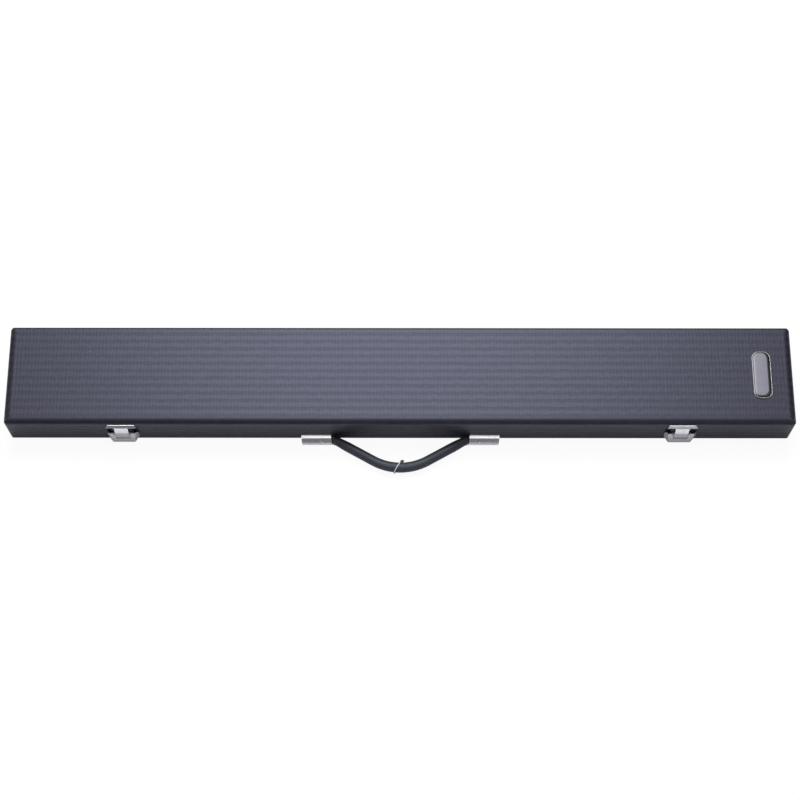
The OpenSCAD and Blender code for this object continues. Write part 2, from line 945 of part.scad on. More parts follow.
module handle_grip() {
    color(grip_colour)
        handle_plane() {
            translate([0, bow_depth - bow_r, 0])
                rotate([0, 0, 90 - grip_slope])
                    rotate_extrude(angle = 2 * grip_slope) translate([bow_r, 0]) circle(grip_r);
            for (s = [-1, 1])
                on_side(s) {
                    translate([bow_end[0], bow_depth - bow_end[1], 0])
                        rotate([0, 90, -grip_slope])
                            translate([0, 0, -past])
                                cylinder(
                                    r1 = grip_r - grip_step,
                                    r2 = neck_r - grip_step,
                                    h = straight_l + 2 * past
                                );
                    translate([neck_x, neck_bend_r, 0])
                        rotate([0, 0, -90 - grip_slope])
                            rotate_extrude(angle = grip_slope) translate([neck_bend_r, 0]) circle(neck_r);
                    translate([neck_x - past, 0, 0])
                        rotate([0, 90, 0]) cylinder(r = trunnion_r, h = past + free_gap + trunnion_l);
                }
        }
}

// A wire ring round the middle of the grip with its twisted end on the inner side
module handle_tie() {
    color(steel_colour)
        handle_plane()
            translate([0, bow_depth - bow_r, 0])
                rotate([0, 0, 90 + tie_turn])
                    translate([bow_r, 0, 0]) {
                        rotate([90, 0, 0])
                            rotate_extrude() translate([tie_reach - tie_d / 2, 0]) circle(d = tie_d);
                        translate([-tie_reach + tie_d / 2, 0, 0])
                            rotate([0, -90, 0]) cylinder(d = tie_d, h = tie_nub_l);
                    }
}

base_bottom_panel();
base_front_wall();
base_back_wall();
base_end(-1);  // base_left_end
base_end(1);  // base_right_end
base_cover_bottom();
base_cover_band();
base_lining();
cue_cradle(-cradle_x);  // cue_cradle_left
cue_cradle(0);  // cue_cradle_middle
cue_cradle(cradle_x);  // cue_cradle_right
hinge_base_leaf(hinge_xs[0]);  // hinge_base_leaf_left
hinge_base_leaf(hinge_xs[1]);  // hinge_base_leaf_middle
hinge_base_leaf(hinge_xs[2]);  // hinge_base_leaf_right
hinge_pin(hinge_xs[0]);  // hinge_pin_left
hinge_pin(hinge_xs[1]);  // hinge_pin_middle
hinge_pin(hinge_xs[2]);  // hinge_pin_right
hinge_rivets(-1);  // hinge_base_rivets
latch_plate(latch_xs[0]);  // latch_plate_left
latch_plate(latch_xs[1]);  // latch_plate_right
latch_pivot_pins();
latch_plate_rivets();
handle_bracket(-1);  // handle_bracket_left
handle_bracket(1);  // handle_bracket_right
handle_rivets();
handle_washers();
lid_top_panel();
lid_front_wall();
lid_back_wall();
lid_end(-1);  // lid_left_end
lid_end(1);  // lid_right_end
lid_cover();
lid_lining();
lid_pad();
badge_frame();
badge_plate();
latch_keeper(latch_xs[0]);  // latch_keeper_left
latch_keeper(latch_xs[1]);  // latch_keeper_right
latch_keeper_rivets();
hinge_lid_leaf(hinge_xs[0]);  // hinge_lid_leaf_left
hinge_lid_leaf(hinge_xs[1]);  // hinge_lid_leaf_middle
hinge_lid_leaf(hinge_xs[2]);  // hinge_lid_leaf_right
hinge_rivets(1);  // hinge_lid_rivets
latch_lever(latch_xs[0]);  // latch_lever_left
latch_lever(latch_xs[1]);  // latch_lever_right
latch_link_pin(latch_xs[0]);  // latch_link_pin_left
latch_link_pin(latch_xs[1]);  // latch_link_pin_right
latch_hook(latch_xs[0]);  // latch_hook_left
latch_hook(latch_xs[1]);  // latch_hook_right
handle_grip();
handle_tie();
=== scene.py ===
# %% [markdown]
# # Cue case
# A long hard case for a two-piece cue: a wooden box covered in black leathercloth, with a hinged lid, two draw
# latches, a swinging handle and foam cradles inside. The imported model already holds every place, size and joint.
# This lesson gives it its looks. Soft, moulded and covered pieces are worked out again as smooth numpy surfaces,
# because a solid from a drawing has edges that are too crisp for cloth, foam and plastic. Pressed metal pieces
# keep their drawn shape and get rounded edges and a plated finish.

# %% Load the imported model
import math

import bmesh
import bpy
import numpy as np
from mathutils import Matrix, Vector


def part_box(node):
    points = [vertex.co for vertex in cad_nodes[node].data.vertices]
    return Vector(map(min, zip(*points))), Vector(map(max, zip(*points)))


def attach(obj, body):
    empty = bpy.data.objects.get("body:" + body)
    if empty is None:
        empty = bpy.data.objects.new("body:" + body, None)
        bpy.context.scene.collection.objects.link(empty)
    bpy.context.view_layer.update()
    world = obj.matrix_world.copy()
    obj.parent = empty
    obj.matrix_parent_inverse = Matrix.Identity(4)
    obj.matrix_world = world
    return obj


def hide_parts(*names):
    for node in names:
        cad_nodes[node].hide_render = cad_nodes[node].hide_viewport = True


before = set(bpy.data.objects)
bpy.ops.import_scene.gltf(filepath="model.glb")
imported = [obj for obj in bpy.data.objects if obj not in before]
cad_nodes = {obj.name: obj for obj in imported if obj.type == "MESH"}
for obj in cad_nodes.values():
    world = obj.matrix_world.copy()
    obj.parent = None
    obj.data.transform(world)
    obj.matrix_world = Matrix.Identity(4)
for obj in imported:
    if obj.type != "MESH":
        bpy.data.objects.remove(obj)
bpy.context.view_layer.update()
MM = 0.001

# %% [markdown]
# ## Camera
# The picture looks down on the front of the case from a long way off. The focal length, the height and the tilt
# come from fitting the outline of an 800 x 105 x 47 mm box to the picture's outline.

# %% Camera
scene = bpy.context.scene
scene.view_settings.view_transform = "Standard"
CAMERA_PLACE = (0.00003, -0.68967, 1.79825)
CAMERA_TILT = math.radians(20.72)
CAMERA_ROLL = 0.0009
camera = bpy.data.objects.new("camera", bpy.data.cameras.new("camera"))
camera.data.sensor_width = 36
camera.data.lens = 83.3
camera.data.clip_end = 100
camera.matrix_world = (
    Matrix.Translation(CAMERA_PLACE)
    @ Matrix.Rotation(CAMERA_TILT, 4, "X")
    @ Matrix.Rotation(CAMERA_ROLL, 4, "Z")
)
scene.collection.objects.link(camera)
scene.camera = camera
print("camera distance in m:", round(Vector(CAMERA_PLACE).length, 3))

# %% [markdown]
# ## Helpers for shader nodes
# Every finish below is a small tree of shader nodes. A few helpers keep the trees short: they add a node, fill its
# sockets with numbers or links, and hand back the result.

# %% Node helpers
def is_link(value):
    """True for another node's output, False for a plain number or colour."""
    return isinstance(value, bpy.types.NodeSocket)


def fill_sockets(tree, node, sockets):
    """Sets each named or numbered input to a value, or links it to another node's output."""
    for key, value in sockets.items():
        if is_link(value):
            tree.links.new(value, node.inputs[key])
        else:
            node.inputs[key].default_value = value
    return node


def add_node(tree, kind, sockets=None, **settings):
    """A shader node with its settings made and its sockets filled."""
    node = tree.nodes.new("ShaderNode" + kind)
    for name, value in settings.items():
        setattr(node, name, value)
    return fill_sockets(tree, node, sockets or {})


def calc(tree, operation, *values):
    """The result of a Math node."""
    return add_node(tree, "Math", dict(enumerate(values)), operation=operation).outputs[0]


def noise(tree, place, scale, detail, **sockets):
    """A cloudy noise from 0 to 1; a bigger scale gives smaller patches."""
    return add_node(tree, "TexNoise", {"Vector": place, "Scale": scale, "Detail": detail, **sockets}).outputs[0]


def mix_colour(tree, share, first, second):
    """First colour at share 0, second colour at share 1. A colour is three numbers or another node's output."""
    first, second = (colour if is_link(colour) else (*colour, 1) for colour in (first, second))
    return add_node(tree, "Mix", {0: share, 6: first, 7: second}, data_type="RGBA").outputs[2]


def remap(tree, value, low, high):
    """A value from 0 to 1 spread between low and high."""
    return add_node(tree, "MapRange", {"Value": value, "To Min": low, "To Max": high}).outputs[0]


def step_up(tree, value, low, high, kind="SMOOTHSTEP"):
    """0 up to low, 1 from high on, and a ramp between them."""
    sockets = {"Value": value, "From Min": low, "From Max": high}
    return add_node(tree, "MapRange", sockets, interpolation_type=kind).outputs[0]


def new_group(name, inputs, outputs):
    """An empty shader node group with float or vector inputs and float outputs."""
    tree = bpy.data.node_groups.new(name, "ShaderNodeTree")
    for label, default in inputs.items():
        kind = "NodeSocketVector" if default is None else "NodeSocketFloat"
        socket = tree.interface.new_socket(label, in_out="INPUT", socket_type=kind)
        if default is not None:
            socket.default_value = default
    for label in outputs:
        tree.interface.new_socket(label, in_out="OUTPUT", socket_type="NodeSocketFloat")
    start, end = tree.nodes.new("NodeGroupInput"), tree.nodes.new("NodeGroupOutput")
    return tree, start.outputs, end.inputs


def object_coords(tree):
    """The object's own coordinates, in metres."""
    return add_node(tree, "TexCoord").outputs["Object"]


def read_attribute(tree, name):
    """A number stored with the piece's points."""
    return add_node(tree, "Attribute", attribute_name=name).outputs["Fac"]


def use_group(tree, group, **sockets):
    """A group's outputs, over the object's coordinates unless another place is given."""
    if "Vector" not in sockets:
        sockets["Vector"] = object_coords(tree)
    return add_node(tree, "Group", sockets, node_tree=group).outputs


def new_finish(name, **sockets):
    """A material with one Principled shader, its constant sockets set, and its tree."""
    finish = bpy.data.materials.new(name)
    finish.use_nodes = True
    tree = finish.node_tree
    shader = tree.nodes["Principled BSDF"]
    for key, value in sockets.items():
        shader.inputs[key.replace("_", " ")].default_value = value
    return finish, tree, shader


def set_bump(tree, shader, height, distance):
    """Raises the surface by a height of 0 to 1 times a distance in metres."""
    bump = add_node(tree, "Bump", {"Strength": 1.0, "Distance": distance, "Height": height})
    tree.links.new(bump.outputs[0], shader.inputs["Normal"])


print("node helpers ready")

# %% [markdown]
# ## Studio
# Two broad soft lights hang behind the case, and their blurred reflections lie across the lid. A third one above it
# leaves the floor dark close to the front, which the front's dull shine repeats. A narrow one puts a bright strip on
# the brackets, and weak ones fill in from both sides. The floor is white to the camera and still takes a soft shadow.
# The dim room leaves the rounded edges that face the viewer dark, as on the real case.

# %% Lights
def soft_light(name, place, size, power, colour=(1, 1, 1)):
    """A rectangular light at a place, facing the origin; power is in watts."""
    light = bpy.data.lights.new(name, "AREA")
    light.shape = "RECTANGLE"
    light.size, light.size_y = size
    light.energy = power
    light.color = colour
    holder = bpy.data.objects.new(name, light)
    facing = (Vector((0, 0, 0)) - Vector(place)).to_track_quat("-Z", "Y")
    holder.matrix_world = Matrix.Translation(place) @ facing.to_matrix().to_4x4()
    scene.collection.objects.link(holder)


COOL_WHITE = (0.97, 0.98, 1)
soft_light("key_light", (-0.03, 0.8, 1.9), (1.2, 0.4), 16.5, COOL_WHITE)
soft_light("back_light", (-0.03, 1.4, 1.85), (1.4, 0.4), 19.5, COOL_WHITE)
soft_light("top_light", (0, -0.36, 2.1), (1.2, 0.34), 3)
soft_light("over_light", (0, 0.3, 2.1), (1.2, 0.6), 6.5)
soft_light("front_light", (0.8, -2.4, 1.6), (2.4, 0.9), 4)
soft_light("left_light", (-1.6, 0.2, 1.3), (1.0, 1.0), 2)
print("studio lights:", len(bpy.data.lights))

# %% Room and floor
world = bpy.data.worlds.new("studio_room")
world.use_nodes = True
world.node_tree.nodes["Background"].inputs["Color"].default_value = (0.15, 0.15, 0.16, 1)
scene.world = world

FLOOR_HALF = 25.0
FLOOR_DROP = 0.0004
FLOOR_PAINT, MIRROR_MORE, CAMERA_LESS = 0.74, 0.24, 0.64
CAMERA_GLOW, MIRROR_GLOW = 0.93, 0.02
COOL_SHARES = (0.955, 0.96)
floor_mesh = bpy.data.meshes.new("floor")
floor_corners = np.array([[-1, -1], [1, -1], [1, 1], [-1, 1]]) * FLOOR_HALF
floor_mesh.from_pydata(np.c_[floor_corners, np.full(4, -FLOOR_DROP)].tolist(), [], [[0, 1, 2, 3]])
floor = bpy.data.objects.new("floor", floor_mesh)
scene.collection.objects.link(floor)

floor_finish = bpy.data.materials.new("white_floor")
floor_finish.use_nodes = True
tree = floor_finish.node_tree
tree.nodes.clear()
rays = add_node(tree, "LightPath").outputs
to_camera = rays["Is Camera Ray"]
to_mirror = calc(tree, "MAXIMUM", rays["Is Glossy Ray"], rays["Is Transmission Ray"])
paint = calc(tree, "MULTIPLY_ADD", to_mirror, MIRROR_MORE, FLOOR_PAINT)
paint = calc(tree, "MULTIPLY_ADD", to_camera, -CAMERA_LESS, paint)
red, green = (calc(tree, "MULTIPLY", paint, share) for share in COOL_SHARES)
cool = add_node(tree, "CombineColor", {0: red, 1: green, 2: paint}).outputs[0]
matt = add_node(tree, "BsdfDiffuse", {"Color": cool}).outputs[0]
strength = calc(tree, "MULTIPLY_ADD", to_camera, CAMERA_GLOW, calc(tree, "MULTIPLY", to_mirror, MIRROR_GLOW))
glow = add_node(tree, "Emission", {"Color": (1, 1, 1, 1), "Strength": strength}).outputs[0]
shown = add_node(tree, "AddShader", {0: matt, 1: glow}).outputs[0]
add_node(tree, "OutputMaterial", {"Surface": shown})
floor_mesh.materials.append(floor_finish)
print("floor half size in m:", FLOOR_HALF)

# %% [markdown]
# ## Effects that several finishes share
# Each effect is a node group that gives values which change over the surface: the raised pattern of the
# leathercloth, the pebble grain of moulded plastic, the fine lines of rolled metal, the fuzz of felt and foam, and
# the patchy wear along edges. A group is placed in each finish with its own sizes.

# %% Raised weave
def make_weave():
    """Ridges along U that repeat every Row metres along V, crossed by short ticks every Tick metres. The ticks are
    strong in the grooves and faint on the ridges. A slow noise shifts both, so that no line is dead straight, and a
    second one varies the depth."""
    tree, given, out = new_group("raised_weave", {"Vector": None, "Row": 0.0081, "Tick": 0.0036}, ["Height", "Groove"])
    split = add_node(tree, "SeparateXYZ", {0: given["Vector"]}).outputs
    drift = calc(tree, "SUBTRACT", noise(tree, given["Vector"], 130.0, 3.0), 0.5)
    shift = calc(tree, "MULTIPLY", drift, 0.0036)
    waves = []
    for place, length in ((split[0], given["Tick"]), (split[1], given["Row"])):
        turns = calc(tree, "DIVIDE", calc(tree, "ADD", place, shift), length)
        waves.append(calc(tree, "COSINE", calc(tree, "MULTIPLY", turns, 2 * math.pi)))
    tick, ridge = step_up(tree, waves[0], -0.5, 0.6), step_up(tree, waves[1], -0.55, 0.45)
    low = calc(tree, "MULTIPLY", tick, 0.34)
    high = calc(tree, "MULTIPLY_ADD", tick, 0.2, 0.72)
    height = calc(tree, "MULTIPLY_ADD", calc(tree, "SUBTRACT", high, low), ridge, low)
    press = calc(tree, "SUBTRACT", noise(tree, given["Vector"], 190.0, 2.0), 0.5)
    height = calc(tree, "MULTIPLY_ADD", press, 0.8, height)
    tree.links.new(height, out["Height"])
    tree.links.new(calc(tree, "SUBTRACT", 1.0, height), out["Groove"])
    return tree


raised_weave = make_weave()
print("group:", raised_weave.name)

# %% Pebble grain, rolled lines, fuzz and wear
def make_grain():
    """Round cells of about Size metres, softened by noise: the skin of moulded plastic and coated cloth."""
    tree, given, out = new_group("pebble_grain", {"Vector": None, "Size": 0.001}, ["Height", "Tone"])
    scale = calc(tree, "DIVIDE", 1.0, given["Size"])
    cells = add_node(tree, "TexVoronoi", {"Vector": given["Vector"], "Scale": scale}, feature="SMOOTH_F1")
    slow = calc(tree, "MULTIPLY", scale, 0.09)
    tree.links.new(calc(tree, "SUBTRACT", 1.0, cells.outputs["Distance"]), out["Height"])
    tree.links.new(noise(tree, given["Vector"], slow, 4.0), out["Tone"])
    return tree


def make_rolled():
    """Noise stretched along X: the fine drawn lines of sheet metal, with slow cloudy patches."""
    tree, given, out = new_group("rolled_lines", {"Vector": None, "Fineness": 4000.0}, ["Lines", "Cloud"])
    stretch = add_node(tree, "Mapping", {"Vector": given["Vector"], "Scale": (0.02, 1.0, 1.0)}).outputs[0]
    tree.links.new(noise(tree, stretch, given["Fineness"], 3.0), out["Lines"])
    tree.links.new(noise(tree, given["Vector"], 220.0, 3.0), out["Cloud"])
    return tree


def make_fuzz():
    """Two noises, one at the fibre's size and one forty times slower: short felt, plush or flock."""
    tree, given, out = new_group("fuzz", {"Vector": None, "Fibre": 0.0006}, ["Height", "Tone"])
    scale = calc(tree, "DIVIDE", 1.0, given["Fibre"])
    fibres = noise(tree, given["Vector"], scale, 3.0, Roughness=0.7)
    nap = noise(tree, given["Vector"], calc(tree, "MULTIPLY", scale, 0.025), 2.0)
    tree.links.new(fibres, out["Height"])
    tree.links.new(calc(tree, "MULTIPLY_ADD", fibres, 0.5, calc(tree, "MULTIPLY", nap, 0.5)), out["Tone"])
    return tree


def make_wear():
    """A mask that is high where Edge is high and a patchy noise agrees: scuffs along edges and corners."""
    tree, given, out = new_group("edge_wear", {"Vector": None, "Edge": 0.0, "Amount": 0.5}, ["Mask"])
    patch = noise(tree, given["Vector"], 90.0, 6.0, Roughness=0.7)
    reach = calc(tree, "MULTIPLY", calc(tree, "MULTIPLY", given["Edge"], given["Amount"]), patch)
    tree.links.new(step_up(tree, reach, 0.18, 0.5), out["Mask"])
    return tree


pebble_grain, rolled_lines, fuzz, edge_wear = make_grain(), make_rolled(), make_fuzz(), make_wear()
print("groups:", len(bpy.data.node_groups))

# %% [markdown]
# ## Leathercloth
# The covering is a thin black plastic skin on cloth, embossed with a woven pattern. It could be a dark plastic
# with a bump, but the real one also shows a grey scuff along the edges and a broad dull sheen, and its grooves
# look darker: that darkness is painted into the grooves as painted shade.
# The pattern lies on a UV map in metres that unfolds the sheet over the edges, so it runs on without a break.

# %% Leathercloth
leathercloth, tree, shader = new_finish(
    "leathercloth", Specular_Tint=(0.74, 0.75, 1.0, 1), Specular_IOR_Level=0.62
)
unfolded = add_node(tree, "UVMap", uv_map="unfolded").outputs[0]
weave = use_group(tree, raised_weave, Vector=unfolded)
skin = use_group(tree, pebble_grain, Size=0.0007)
edge = read_attribute(tree, "edge")
scuff = use_group(tree, edge_wear, Edge=edge, Amount=0.8)["Mask"]
# Painted shade: the colour is darker down in the weave's grooves than on its ridges.
tone = mix_colour(tree, weave["Groove"], (0.0165, 0.0165, 0.024), (0.0045, 0.0045, 0.0065))
tone = mix_colour(tree, remap(tree, skin["Tone"], -0.15, 0.25), tone, (0.022, 0.022, 0.03))
tone = mix_colour(tree, calc(tree, "MULTIPLY", scuff, 0.12), tone, (0.1, 0.1, 0.11))
tree.links.new(tone, shader.inputs["Base Color"])
dull = calc(tree, "MULTIPLY_ADD", scuff, 0.1, remap(tree, weave["Groove"], 0.41, 0.46))
tree.links.new(dull, shader.inputs["Roughness"])
set_bump(tree, shader, calc(tree, "MULTIPLY_ADD", skin["Height"], 0.18, weave["Height"]), 0.00007)
print("finish:", leathercloth.name)

# %% [markdown]
# ## Making a piece
# A piece is an array of points and a list of faces. The points of a grid are numbered row by row, and four
# neighbours make a face. The piece sits at the origin with its place in its mesh, rides on a body of the packed
# model and hides the drawn node it stands for. Its main sizes are read from that node's box.

# %% Mesh helpers
CREASE = math.radians(38)


def drawn_box(name):
    """The low and the high corner of a drawn node, in metres."""
    return np.array(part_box(name))


def grid_faces(rows, columns, wrap_columns=False, wrap_rows=False, caps=False):
    """Quads between neighbours of a grid. A wrapped direction joins its last line to its first, and caps are flat
    faces over the first and the last row."""
    row = np.arange(rows if wrap_rows else rows - 1)[:, None]
    column = np.arange(columns if wrap_columns else columns - 1)[None, :]
    next_row, next_column = (row + 1) % rows, (column + 1) % columns
    corners = [row * columns + column, row * columns + next_column]
    corners += [next_row * columns + next_column, next_row * columns + column]
    faces = np.stack(np.broadcast_arrays(*corners), -1).reshape(-1, 4).tolist()
    if caps:
        faces += [list(range(columns)), list(range((rows - 1) * columns, rows * columns))]
    return faces


def make_piece(name, points, faces, finish, body, stands_for=()):
    """A closed mesh with outward faces, smooth below the crease angle, that rides on a body."""
    mesh = bpy.data.meshes.new(name)
    mesh.from_pydata(np.asarray(points).reshape(-1, 3).tolist(), [], faces)
    build = bmesh.new()
    build.from_mesh(mesh)
    bmesh.ops.recalc_face_normals(build, faces=build.faces)
    build.to_mesh(mesh)
    build.free()
    mesh.shade_smooth()
    mesh.set_sharp_from_angle(angle=CREASE)
    mesh.materials.append(finish)
    made = bpy.data.objects.new(name, mesh)
    scene.collection.objects.link(made)
    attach(made, body)
    if stands_for:
        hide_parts(*stands_for)
    return made


def store_value(made, name, values):
    """Keeps one number for each point of a piece."""
    layer = made.data.attributes.new(name, "FLOAT", "POINT")
    layer.data.foreach_set("value", np.asarray(values, np.float32).ravel())


def store_uv(made, name, flat):
    """Keeps flat coordinates for each point of a piece as its UV map."""
    corners = np.empty(len(made.data.loops), np.int32)
    made.data.loops.foreach_get("vertex_index", corners)
    layer = made.data.uv_layers.new(name=name)
    layer.data.foreach_set("uv", np.asarray(flat, np.float32).reshape(-1, 2)[corners].ravel())


def arc(centre, radius, start, end, steps):
    """Points on a circle between two angles in degrees."""
    angle = np.radians(np.linspace(start, end, steps + 1))
    return np.c_[centre[0] + radius * np.cos(angle), centre[1] + radius * np.sin(angle)]


print("helpers ready, crease angle:", round(math.degrees(CREASE)))

# %% [markdown]
# ## Coverings of the lid and the base
# The real covering is one sheet drawn over the wooden box and turned in over the rim. A rounded block with a
# Bevel modifier would do for the outside, but a profile carried round a rounded rectangle also gives the turned-in
# rim and a true thickness, and its two parameters unfold the sheet for the pattern. The lid's edge rolls farther
# along the top than down the side, and the two rims nearly close the seam.

# %% Rounded outline of the case
LID_LOW, LID_HIGH = drawn_box("lid_cover")
BASE_LOW, BASE_HIGH = drawn_box("base_cover_band")
HALF_PLAN = (LID_HIGH - LID_LOW)[:2] / 2
FRONT = LID_LOW[1]
CASE_TOP, LID_RIM, BASE_RIM = LID_HIGH[2], LID_LOW[2], BASE_HIGH[2]
CORNER_R, TOP_EDGE_R, BOTTOM_EDGE_R = 3.5 * MM, 5 * MM, 4 * MM
SHEET, WALL, LINING = 0.8 * MM, 6.5 * MM, 1.0 * MM
LINING_OUT, LINING_IN = SHEET + WALL, SHEET + WALL + LINING
CORNER_SIGNS = np.array([[1, 1], [-1, 1], [-1, -1], [1, -1]])


def rounded_plan(inset, half, radius, steps=(10, 160, 20), least=0.6 * MM):
    """Rounded rectangles, one for each inset. Each quarter circle turns 90 degrees about its corner's centre, and
    each straight run is the line from one quarter's end to the next one's start. Gives the points, the outward
    direction at each column, and how far each column is into its corner: 0 at the quarter's ends, 1 in its middle."""
    arc_steps, *run_steps = steps
    turn = np.linspace(0, 1, arc_steps + 1)
    table = []
    for corner in range(4):
        run = np.arange(1, run_steps[corner % 2]) / run_steps[corner % 2]
        still, level = 0 * turn, 0 * run
        table.append(np.c_[still + corner, still + corner, turn + corner, still, 4 * turn * (1 - turn)])
        table.append(np.c_[level + corner, level + (corner + 1) % 4, level + corner + 1, run, level])
    first, second, quarters, share, bend_share = np.vstack(table).T
    outward = np.stack([np.cos(quarters * np.pi / 2), np.sin(quarters * np.pi / 2)], -1)
    start, end = CORNER_SIGNS[first.astype(int)], CORNER_SIGNS[second.astype(int)]
    side = (1 - share)[:, None] * start + share[:, None] * end
    inset = np.asarray(inset)[:, None]
    bend = np.maximum(radius - inset, least)
    centre = np.asarray(half)[None, :] - inset - bend
    return centre[:, None, :] * side[None] + bend[:, :, None] * outward[None], outward, bend_share


def ring_solid(profile, half, radius=CORNER_R, closed_loop=False, **options):
    """A profile of (inset, height) points carried round a rounded rectangle. The two ends are closed with flat
    faces, or joined to each other where the profile is a loop."""
    inset, height = np.asarray(profile).T
    plan, outward, bend = rounded_plan(inset, half, radius, **options)
    rows, columns = plan.shape[:2]
    points = np.concatenate([plan, np.broadcast_to(height[:, None, None], (rows, columns, 1))], -1)
    faces = grid_faces(rows, columns, wrap_columns=True, wrap_rows=closed_loop, caps=not closed_loop)
    return points, faces, outward, bend


print("case plan in mm:", np.round(2 * HALF_PLAN / MM, 1), "rims:", round(BASE_RIM / MM, 1), round(LID_RIM / MM, 1))

# %% Lid and base coverings
RIM_R = 0.15 * MM
RIM_CLOSE = 0.16 * MM
EDGE_REACH = 6.8 * MM
CORNER_TIGHT, HINGE_TIGHT, CORNER_WEAR = 0.2, 0.6, 0.85


def edge_roll(thickness, start, end, steps):
    """A quarter of an ellipse at the lid's edge, longer along the top than down the side, drawn in by a thickness."""
    size = np.array([EDGE_REACH, TOP_EDGE_R]) - thickness
    return arc((0, 0), 1, start, end, steps) * size + [EDGE_REACH, CASE_TOP - TOP_EDGE_R]


def tighten_corners(points, profile, outward, bend):
    """Pulls a rounded edge out towards its square corner by a share of the way: a little at the case's corners, and
    more along the hinges, where the sheet is tight."""
    inset, height = profile[:, :1], profile[:, 1:]
    tight = np.maximum(CORNER_TIGHT * bend, HINGE_TIGHT * outward[:, 1].clip(0) ** 4)[None]
    top, low = height > CASE_TOP - TOP_EDGE_R, height < BOTTOM_EDGE_R - 1e-6
    points[..., :2] += outward[None] * (inset * (top | low) * tight)[..., None]
    points[..., 2] += (top * (CASE_TOP - height) - low * height) * tight


def cover_piece(name, profile, reference, body, stands_for, closed_loop=False):
    """A covering with its unfolded map: the reference row's plan moved outward by the distance along the profile."""
    points, faces, outward, bend = ring_solid(profile, HALF_PLAN, closed_loop=closed_loop)
    tighten_corners(points, profile, outward, bend)
    made = make_piece(name, points, faces, leathercloth, body, stands_for)
    along = np.r_[0, np.cumsum(np.linalg.norm(np.diff(profile, axis=0), axis=1))]
    along = np.abs(along - along[reference])
    flat = points[reference, :, :2][None] + outward[None] * along[:, None, None]
    store_uv(made, "unfolded", flat)
    turned = np.gradient(np.unwrap(np.arctan2(*np.gradient(profile, axis=0).T)))
    fold = np.clip(np.abs(turned) / 0.12, 0, 1)
    store_value(made, "edge", np.maximum(fold[:, None], CORNER_WEAR * bend[None]))
    return made


lid_edge, base_edge = LID_RIM - RIM_CLOSE, BASE_RIM + RIM_CLOSE
lid_profile = np.vstack([
    edge_roll(SHEET, 90, 180, 8),
    [[SHEET, LID_RIM + SHEET], [LINING_IN, LID_RIM + SHEET], [LINING_IN, lid_edge], [4 * MM, lid_edge]],
    arc((RIM_R, lid_edge + RIM_R), RIM_R, 270, 180, 5),
    [[0, LID_RIM + 2 * MM], [0, LID_RIM + 7 * MM]],
    edge_roll(0, 180, 90, 20),
    [[EDGE_REACH + 0.5 * MM, CASE_TOP]],
])
lid_covering = cover_piece("lid_covering", lid_profile, len(lid_profile) - 1, "lid", ["lid_cover"])

band_low = BASE_LOW[2]
band_profile = np.vstack([
    [[SHEET, band_low], [SHEET, BASE_RIM - SHEET], [LINING_IN, BASE_RIM - SHEET], [LINING_IN, base_edge]],
    [[4 * MM, base_edge]],
    arc((RIM_R, base_edge - RIM_R), RIM_R, 90, 180, 5),
    [[0, BASE_RIM - 2 * MM], [0, BASE_RIM - 12 * MM], [0, band_low + 1 * MM]],
    arc((0.25 * MM, band_low + 0.25 * MM), 0.25 * MM, 180, 270, 3),
])
base_covering = cover_piece("base_covering", band_profile, len(band_profile) - 5, "base", ["base_cover_band"], True)

bottom_corner = (BOTTOM_EDGE_R, BOTTOM_EDGE_R)
bottom_profile = np.vstack([
    arc(bottom_corner, BOTTOM_EDGE_R - SHEET, 270, 180, 6),
    arc((0.25 * MM, BOTTOM_EDGE_R - 0.27 * MM), 0.25 * MM, 90, 180, 3),
    arc(bottom_corner, BOTTOM_EDGE_R, 186, 270, 10),
    [[BOTTOM_EDGE_R + 0.5 * MM, 0]],
])
underside = cover_piece("underside_covering", bottom_profile, len(bottom_profile) - 1, "base", ["base_cover_bottom"])
print("covering faces:", [len(p.data.polygons) for p in (lid_covering, base_covering, underside)])

# %% [markdown]
# ## Felt linings
# The inside is lined with thin felt. It is another ring solid: a tray in the base and the same tray upside down in
# the lid, with soft inside corners, because glued felt never makes a sharp one.

# %% Felt linings
def fuzzy_finish(name, fibre, depth, dark, light, seam=None, **sockets):
    """Felt, flock or plush: fibres in two tones, raised by a depth; the seam attribute mixes in a darker seam colour,
    painted shade.
    """
    finish, tree, shader = new_finish(name, **sockets)
    pile = use_group(tree, fuzz, Fibre=fibre)
    tone = mix_colour(tree, pile["Tone"], dark, light)
    if seam:
        tone = mix_colour(tree, read_attribute(tree, "seam"), tone, seam)
    tree.links.new(tone, shader.inputs["Base Color"])
    set_bump(tree, shader, pile["Height"], depth)
    return finish


felt = fuzzy_finish(
    "short_felt", 0.0007, 0.0003, (0.028, 0.032, 0.05), (0.07, 0.078, 0.11),
    Roughness=0.95, Sheen_Weight=0.25, Sheen_Roughness=0.5, Specular_IOR_Level=0.2,
)
BASE_FLOOR, LID_CEILING = drawn_box("base_lining")[0][2], drawn_box("lid_lining")[1][2]
FELT_GAP = 0.03 * MM
FELT_R = 2 * MM


def felt_tray(name, outside_z, rim_z, up, body, stands_for):
    """A tray open on one side: up the outside, over the rim, down the inside and round a soft corner to the floor.
    Up is 1 if it opens upwards and -1 if downwards."""
    floor_z = outside_z + up * LINING
    corner = arc((FELT_R, FELT_R), FELT_R, 180, 270, 6) * [1, up] + [LINING_IN, floor_z]
    profile = np.vstack([
        [[LINING_OUT + FELT_GAP, outside_z + up * FELT_GAP], [LINING_OUT + FELT_GAP, rim_z - up * FELT_GAP]],
        [[LINING_IN - FELT_GAP, rim_z - up * FELT_GAP]],
        corner,
        [[LINING_IN + FELT_R + 1 * MM, floor_z]],
    ])
    points, faces, _, _ = ring_solid(profile, HALF_PLAN, least=1.2 * MM, steps=(6, 60, 10))
    return make_piece(name, points, faces, felt, body, stands_for)


